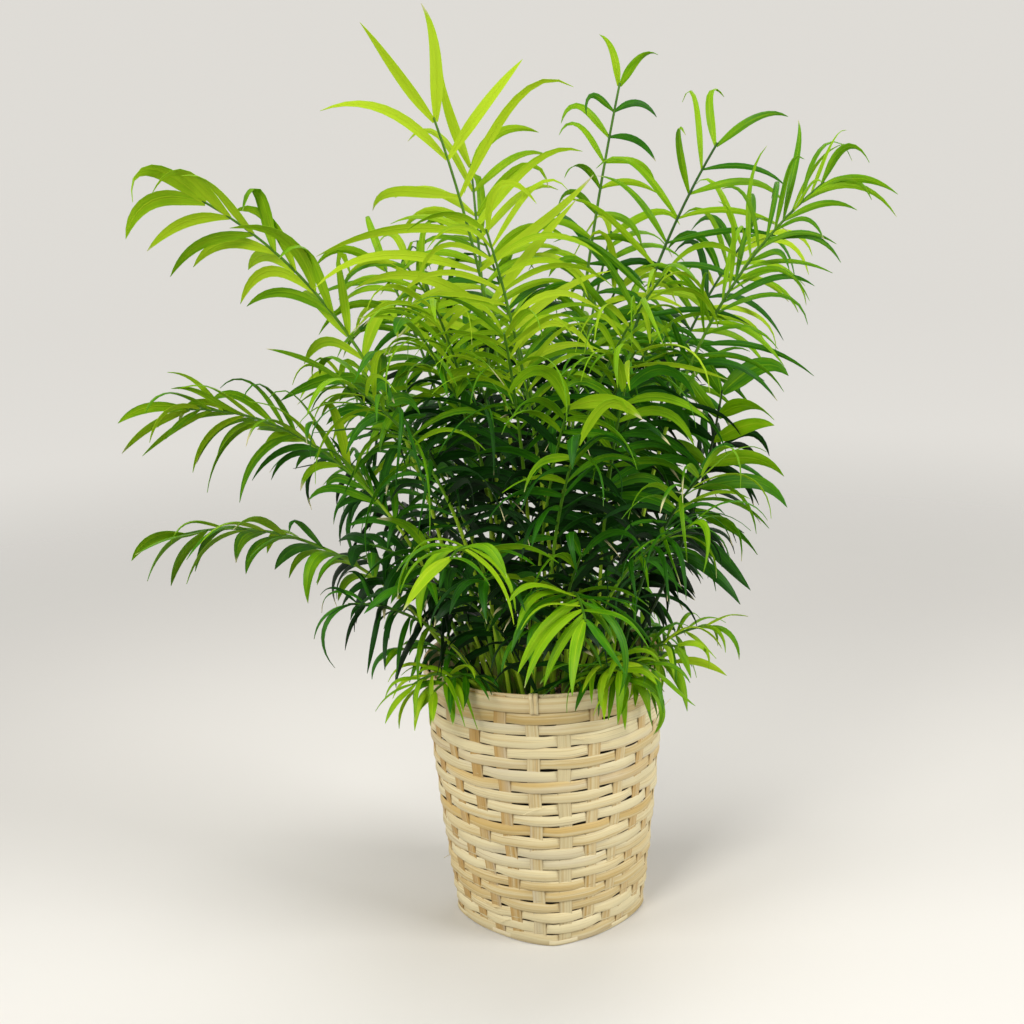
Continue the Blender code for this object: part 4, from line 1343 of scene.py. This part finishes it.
def leaf_frame(leaf, share):
    """A leaflet's middle, the way across it and its upper side, at a share of its length."""
    place = share * PATH_STEPS
    low = min(int(place), PATH_STEPS - 1)
    after = min(low + 1, PATH_STEPS - 1)
    middle = leaf.points[low].lerp(leaf.points[low + 1], place - low)
    way = leaf.ways[low].lerp(leaf.ways[after], place - low).normalized()
    across = leaf.across[low].lerp(leaf.across[after], place - low)
    across = Quaternion(way, leaf.twist * share) @ (across - way * across.dot(way)).normalized()
    if share == 0:
        middle = middle - way * LEAF_SUNK
    return middle, across * -leaf.side, across.cross(way) * leaf.side


def strap_width(share):
    """Share of a leaflet's full width: a strap with a narrow foot and a long point."""
    if share < LEAF_WIDEST:
        return blend(0.32, 1.0, math.sin(share / LEAF_WIDEST * math.pi / 2))
    return (1 - ((share - LEAF_WIDEST) / (1 - LEAF_WIDEST)) ** 2.1) ** 0.9


def lay_leaf(master, leaf, slim, stray, tone, finish):
    """A leaflet, turned aside, up or down from its grown line and curled towards its tip by stray."""
    aside, lift, curl = stray
    foot, foot_across, foot_top = leaf_frame(leaf, 0)
    swing = Quaternion(foot_top, aside)

    def section(share):
        middle, across, top = leaf_frame(leaf, share)
        turn = swing @ Quaternion(foot_across, lift + curl * share)
        half = max(leaf.width / 2 * slim * strap_width(share), LEAF_POINT)
        return foot + turn @ (middle - foot), turn @ across, turn @ top, half

    copy = copied(master)
    frames = Frames(section)
    for vert in copy.data.vertices:
        share, place, height = round(vert.co.x, 4), keep(vert.co.y, -1.0), vert.co.z
        middle, across, top, half = frames[share]
        thick = (1 if height > 0 else -1) * LEAF_THICK / 2 * (1 - 0.5 * abs(place))
        vert.co = middle + across * (half * place) + top * (thick - LEAF_FOLD * half * abs(place))
    paint(copy, tone)
    copy.data.materials.append(finish)
    return copy


def frond_youth_and_light(stalk):
    """Painted light and shade over a frond's age: brighter high up and at the front, darker low down and at
    the back, where shade falls.
    """
    tip = stalk.tip()
    return 0.24 + 0.36 * ease((tip.z - 0.20) / 0.36) + 0.20 * ease((0.10 - tip.y) / 0.24)


def openness(spot):
    """How open a place is to the light, for painted shade: 0 in the shaded middle of the plant and 1 at its
    outside.
    """
    reach = math.hypot(spot.x, spot.y + 0.02) / blend(0.09, 0.20, ease((spot.z - 0.19) / 0.35))
    return max(ease((reach - 0.3) / 0.7), ease((spot.z - 0.34) / 0.13))


def light_at(spot):
    """Painted light and shade on a leaflet, on top of its frond's tone: painted light high up, outside and
    over the rim, and painted shade in the plant's middle.
    """
    high = ease((spot.z - 0.25) / 0.21)
    over_rim = ease((math.hypot(spot.x, spot.y) - 0.080) / 0.03) * ease((0.270 - spot.z) / 0.06)
    return 0.38 * (high - 0.66) - 0.52 * (1 - openness(spot)) + 0.20 * over_rim


# How a frond looks: how young and how lit, with painted light and shade, how much its leaflets differ, how
# wide they look next to the room that they have, how dark its stalk is, if it has a shade of its own, and how
# much broader its end leaflets are.
Look = namedtuple("Look", "youth spread slim stalk ends", defaults=(None, 1.0))


def make_frond(name, frond, stalk, leaves, look, master, greens, draw):
    """A frond's stalk and all its leaflets, as one piece."""
    sheath_end = SHEATH_LENGTH / frond.length

    def line(share):
        place = share**1.15
        point, _, side, top = stalk.frame(place)
        half = stalk_half(place) * 1.15
        open_out = 1 - ease(place / sheath_end)
        flat = (blend(half, size, open_out) for size in (SHEATH_HALF_WIDTH, SHEATH_HALF_THICK))
        return point, side * next(flat), top * next(flat)

    chance = draw.random()

    def stem_tone(share):
        age = blend(0.94, 0.46, ease((share - 0.40) / 0.4)) if look.stalk is None else look.stalk
        return (age * (0.3 + 0.7 * ease(share / 0.3)), chance, 0.5 * (1 - ease(share / 0.10)), 1.0)

    pieces = [tube("stem", line, STEM_STEPS, STEM_SIDES, greens[1], stem_tone)]
    for out, leaf in leaves:
        # Painted light and shade: the leaflet takes its frond's tone, lighter high up, outside and over the
        # rim, darker in the plant's middle.
        light = light_at(leaf.points[PATH_STEPS // 2])
        shade = keep(look.youth + 0.12 * (out - 0.5) + light + draw.gauss(0, look.spread))
        tone = (shade, draw.random(), max(draw.gauss(0.1, 0.28), 0.0), 1.0)
        fine = look.slim * (draw.uniform(0.82, 1.08) if out < 0.9 else look.ends)
        stray = [draw.gauss(middle, reach) * max(look.spread, 0.11) / 0.18 for middle, reach in STRAYS]
        pieces.append(lay_leaf(master, leaf, fine, stray, tone, greens[0]))
    piece = joined(name, pieces)
    smooth(piece)
    return piece


def add_finer(frond, stalk, leaves, crowd, owner, draw):
    """A frond's leaflets from its foot up, and after them finer ones in the spaces between them."""
    found = sorted(leaves, key=lambda row: row[0])
    if owner + 1 in SPARSE:
        return found
    finer = frond._replace(leaf=frond.leaf * 0.98, width=frond.width * 0.9)
    chance = 1.0 if owner + 1 in FANS else FINER_CHANCE
    for place in range(frond.pairs):
        for side in SIDES:
            if draw.random() < chance:
                leaf = grow_leaf(finer, stalk, crowd, owner, draw, place - 0.5, side)
                if leaf:
                    found.append((place / frond.pairs, leaf))
    return found


def grow_shoots(crowd, draw):
    """Young fronds straight out of the soil, which fill the plant's foot and hang over the rim."""
    shoots = []
    fringe = Crowd()
    for number in range(SHOOTS):
        kind = SHOOT_KINDS[number % len(SHOOT_KINDS)]
        hanging = kind is HANGING
        bare = draw.uniform(0.28, 0.42)
        for _ in range(SHOOT_TRIES):
            turn = math.radians(draw.uniform(0, 360) if number % 2 else draw.uniform(170, 370))
            if hanging:
                turn = math.radians(draw.uniform(*draw.choice(OVER_THE_RIM)))
            reach, lean, tip_lean, length, leaf, width = (draw.uniform(*span) for span in kind[:-1])
            foot = polar(reach, turn, SOIL_TOP - SUNK)
            heading = math.degrees(turn) + draw.uniform(-1, 1) * (24 if hanging else 40)
            if hanging and abs((heading - FRONT + 180) % 360 - 180) < FRONT_HALF:
                continue
            pairs = round(length * (1 - bare) / kind[-1])
            roll = draw.uniform(-40, 40)
            shape = (lean, tip_lean, SHOOT_LATE, length, bare, pairs, leaf, width)
            frond = Frond(0, 0, heading, roll, *shape)
            sway = draw.uniform(-8, 8)
            stalk = Stalk(foot, heading, lean, tip_lean, length, SHOOT_LATE, sway, roll, bare)
            if not hanging and stalk.tip().x > OTHER_REACH:
                continue
            lengths = stalk_lengths(frond, stalk)
            near = fringe if hanging or (kind is TALL and foot.y > 0.012) else crowd
            free = clears_basket([f[0] for f in stalk.frames[8:]])
            if free and all(near.clears(*length) for length in lengths):
                break
        else:
            continue
        owner = ("shoot", number)
        for station, shape in enumerate(lengths, 1):
            near.add((owner, station), *shape)
        leaves = grow_leaves(frond, stalk, near, owner, draw)
        if not hanging or abs(stalk.tip().x) < HANGING_REACH:
            shoots.append((frond, stalk, leaves))
    return shoots


def make_cane(number, stalk, finish):
    def ring(share, reach):
        return max(math.exp(-(((share - r) / reach) ** 2)) for r in CANE_RINGS)

    def line(share):
        point, _, side, top = stalk.frame(share)
        half = cane_half(min(share, 0.99)) * 0.98
        half *= 1 + 0.09 * ring(share, 0.018)
        if share == 0:
            point = point - UP * CANE_SUNK
        return point, side * half, top * half

    def tone(share):
        scar = min(0.25 + ring(share, 0.03) * 0.8, 1.0) * (1 - 0.5 * share)
        return (0.52 + 0.25 * share, number / (len(CANES) + 1), scar, 1.0)

    return tube(f"palm_cane_{number:02d}", line, 40, 14, finish, tone)


def frond_look(number, stalk, draw):
    behind = ease((stalk.tip().y + 0.02) / 0.10)
    youth = frond_youth_and_light(stalk) + draw.uniform(-0.06, 0.06)
    return Look(
        YOUTH_AND_LIGHT.get(number, youth),
        0.07 if number in YOUTH_AND_LIGHT else 0.18,
        SLIM.get(number, blend(0.62, 0.84, behind)),
        DARK_STALKS.get(number),
        BROAD_ENDS.get(number, 1.0),
    )


def shoot_look(frond, stalk, draw):
    over = frond.tip_lean > 90
    behind = ease((stalk.frame(0)[0].y + 0.01) / 0.03)
    # Painted light on shoots that hang over the rim and painted shade on those rooted at the back.
    youth = frond_youth_and_light(stalk) + draw.uniform(-0.08, 0.10) + 0.36 * over - 0.1 * behind
    return Look(youth, 0.12, 0.90 if over else blend(1.05, 1.75, behind))


def make_plant():
    canes, fronds, crowd = grow()
    greens = leaf_finish(), stalk_finish()
    draw = random.Random(3)
    master = master_leaf()
    for number, stalk in enumerate(canes, 1):
        hold(make_cane(number, stalk, greens[1]), "cane_green", f"cane_{number:02d}")
    fronds = [(*row[:2], add_finer(*row, crowd, index, draw)) for index, row in enumerate(fronds)]
    shoots = grow_shoots(crowd, random.Random(17))
    for number, (frond, stalk, leaves) in enumerate(fronds, 1):
        look = frond_look(number, stalk, draw)
        piece = make_frond(f"palm_frond_{number:02d}", frond, stalk, leaves, look, master, greens, draw)
        hold(piece, "leaf_green", f"frond_{number:02d}")
    for number, (frond, stalk, leaves) in enumerate(shoots, 1):
        look = shoot_look(frond, stalk, draw)
        piece = make_frond(f"palm_shoot_{number:02d}", frond, stalk, leaves, look, master, greens, draw)
        hold(piece, "leaf_green")
    bpy.data.objects.remove(master)


# --- studio -------------------------------------------------------------------------------------

FLOOR_REACH = 3.0
FLOOR_BEND = 1.6
WALL_RISE = 2.5
SKY_LIGHT = 0.24
# Each lamp's name, place, target, size, power and colour.
LAMPS = (
    ("key", (-1.2, -2.2, 1.85), (0, 0, 0.3), 0.9, 43, (1.0, 0.985, 0.95)),
    ("right", (2.3, -1.1, 1.15), (0, 0, 0.15), 1.3, 56, (1, 1, 1)),
    ("left", (-2.4, -0.9, 1.1), (0, 0, 0.15), 1.3, 29, (1, 1, 1)),
    ("back", (0.5, 1.2, 1.7), (0, 0, 0.4), 0.9, 8, (1.0, 0.98, 0.94)),
    ("top", (0, -0.1, 2.2), (0, 0, 0.3), 0.8, 11, (1, 1, 1)),
)
CAMERA_PLACE = (-0.0192, -1.295, 0.643)
CAMERA_PITCH = 14.85
CAMERA_ROLL = 1.9
CAMERA_LENS = 67.29
SENSOR_WIDTH = 36


def make_stage():
    """A round pale floor that curves up into a wall all round."""
    bowl = flat_strip("studio_floor", 40, 96)
    bend = FLOOR_BEND * math.pi / 2
    for vert in bowl.data.vertices:
        run, turn = (vert.co.x + 0.5) * (FLOOR_REACH + bend + WALL_RISE), (vert.co.y + 0.5) * math.tau
        angle = keep(run - FLOOR_REACH, 0.0, bend) / FLOOR_BEND
        reach = min(run, FLOOR_REACH) + FLOOR_BEND * math.sin(angle)
        z = FLOOR_BEND * (1 - math.cos(angle)) + max(run - FLOOR_REACH - bend, 0.0)
        vert.co = polar(reach, turn, z)
    merge(bowl, 1e-4)
    smooth(bowl, 60)
    bowl.data.materials.append(floor_finish())


class Sky(Finish):
    """The world round the plant: plain pale to the eye, and a softer light on the plant."""

    def __init__(self, light):
        world = bpy.data.worlds.new("soft_sky")
        world.use_nodes = True
        self.tree = world.node_tree
        bpy.context.scene.world = world
        lit = self.tree.nodes["Background"]
        self.feed(lit.inputs["Color"], (1, 1, 1, 1))
        self.feed(lit.inputs["Strength"], light)
        shown = self.reading("ShaderNodeBackground", None, {0: tint(241, 238, 232), 1: 1.0})
        self.show_mix(self.seen(), lit.outputs[0], shown, "World Output")


def put(name, data, place, turn):
    """A lamp or camera at a place, turned by a matrix."""
    thing = bpy.data.objects.new(name, data)
    bpy.context.collection.objects.link(thing)
    thing.matrix_world = Matrix.Translation(place) @ turn.to_4x4()
    return thing


def light_scene():
    Sky(SKY_LIGHT)
    for name, place, target, size, power, colour in LAMPS:
        data = bpy.data.lights.new(name, "AREA")
        data.shape, data.size, data.energy, data.color = "SQUARE", size, power, colour
        way = Vector(target) - Vector(place)
        put(name, data, place, way.to_track_quat("-Z", "Y").to_matrix())


def place_camera():
    pitch, roll = math.radians(CAMERA_PITCH), math.radians(CAMERA_ROLL)
    forward = Vector((0, math.cos(pitch), -math.sin(pitch)))
    level = Vector((1, 0, 0))
    upright = level.cross(forward)
    right = level * math.cos(roll) - upright * math.sin(roll)
    up = level * math.sin(roll) + upright * math.cos(roll)
    data = bpy.data.cameras.new("camera")
    data.lens, data.sensor_width = CAMERA_LENS, SENSOR_WIDTH
    turn = Matrix((right, up, -forward)).transposed()
    bpy.context.scene.camera = put("camera", data, CAMERA_PLACE, turn)


make_basket()
finish_pot()
make_soil()
strew_chips()
make_plant()
make_stage()
light_scene()
place_camera()
bpy.context.scene.view_settings.view_transform = "Standard"
choose()
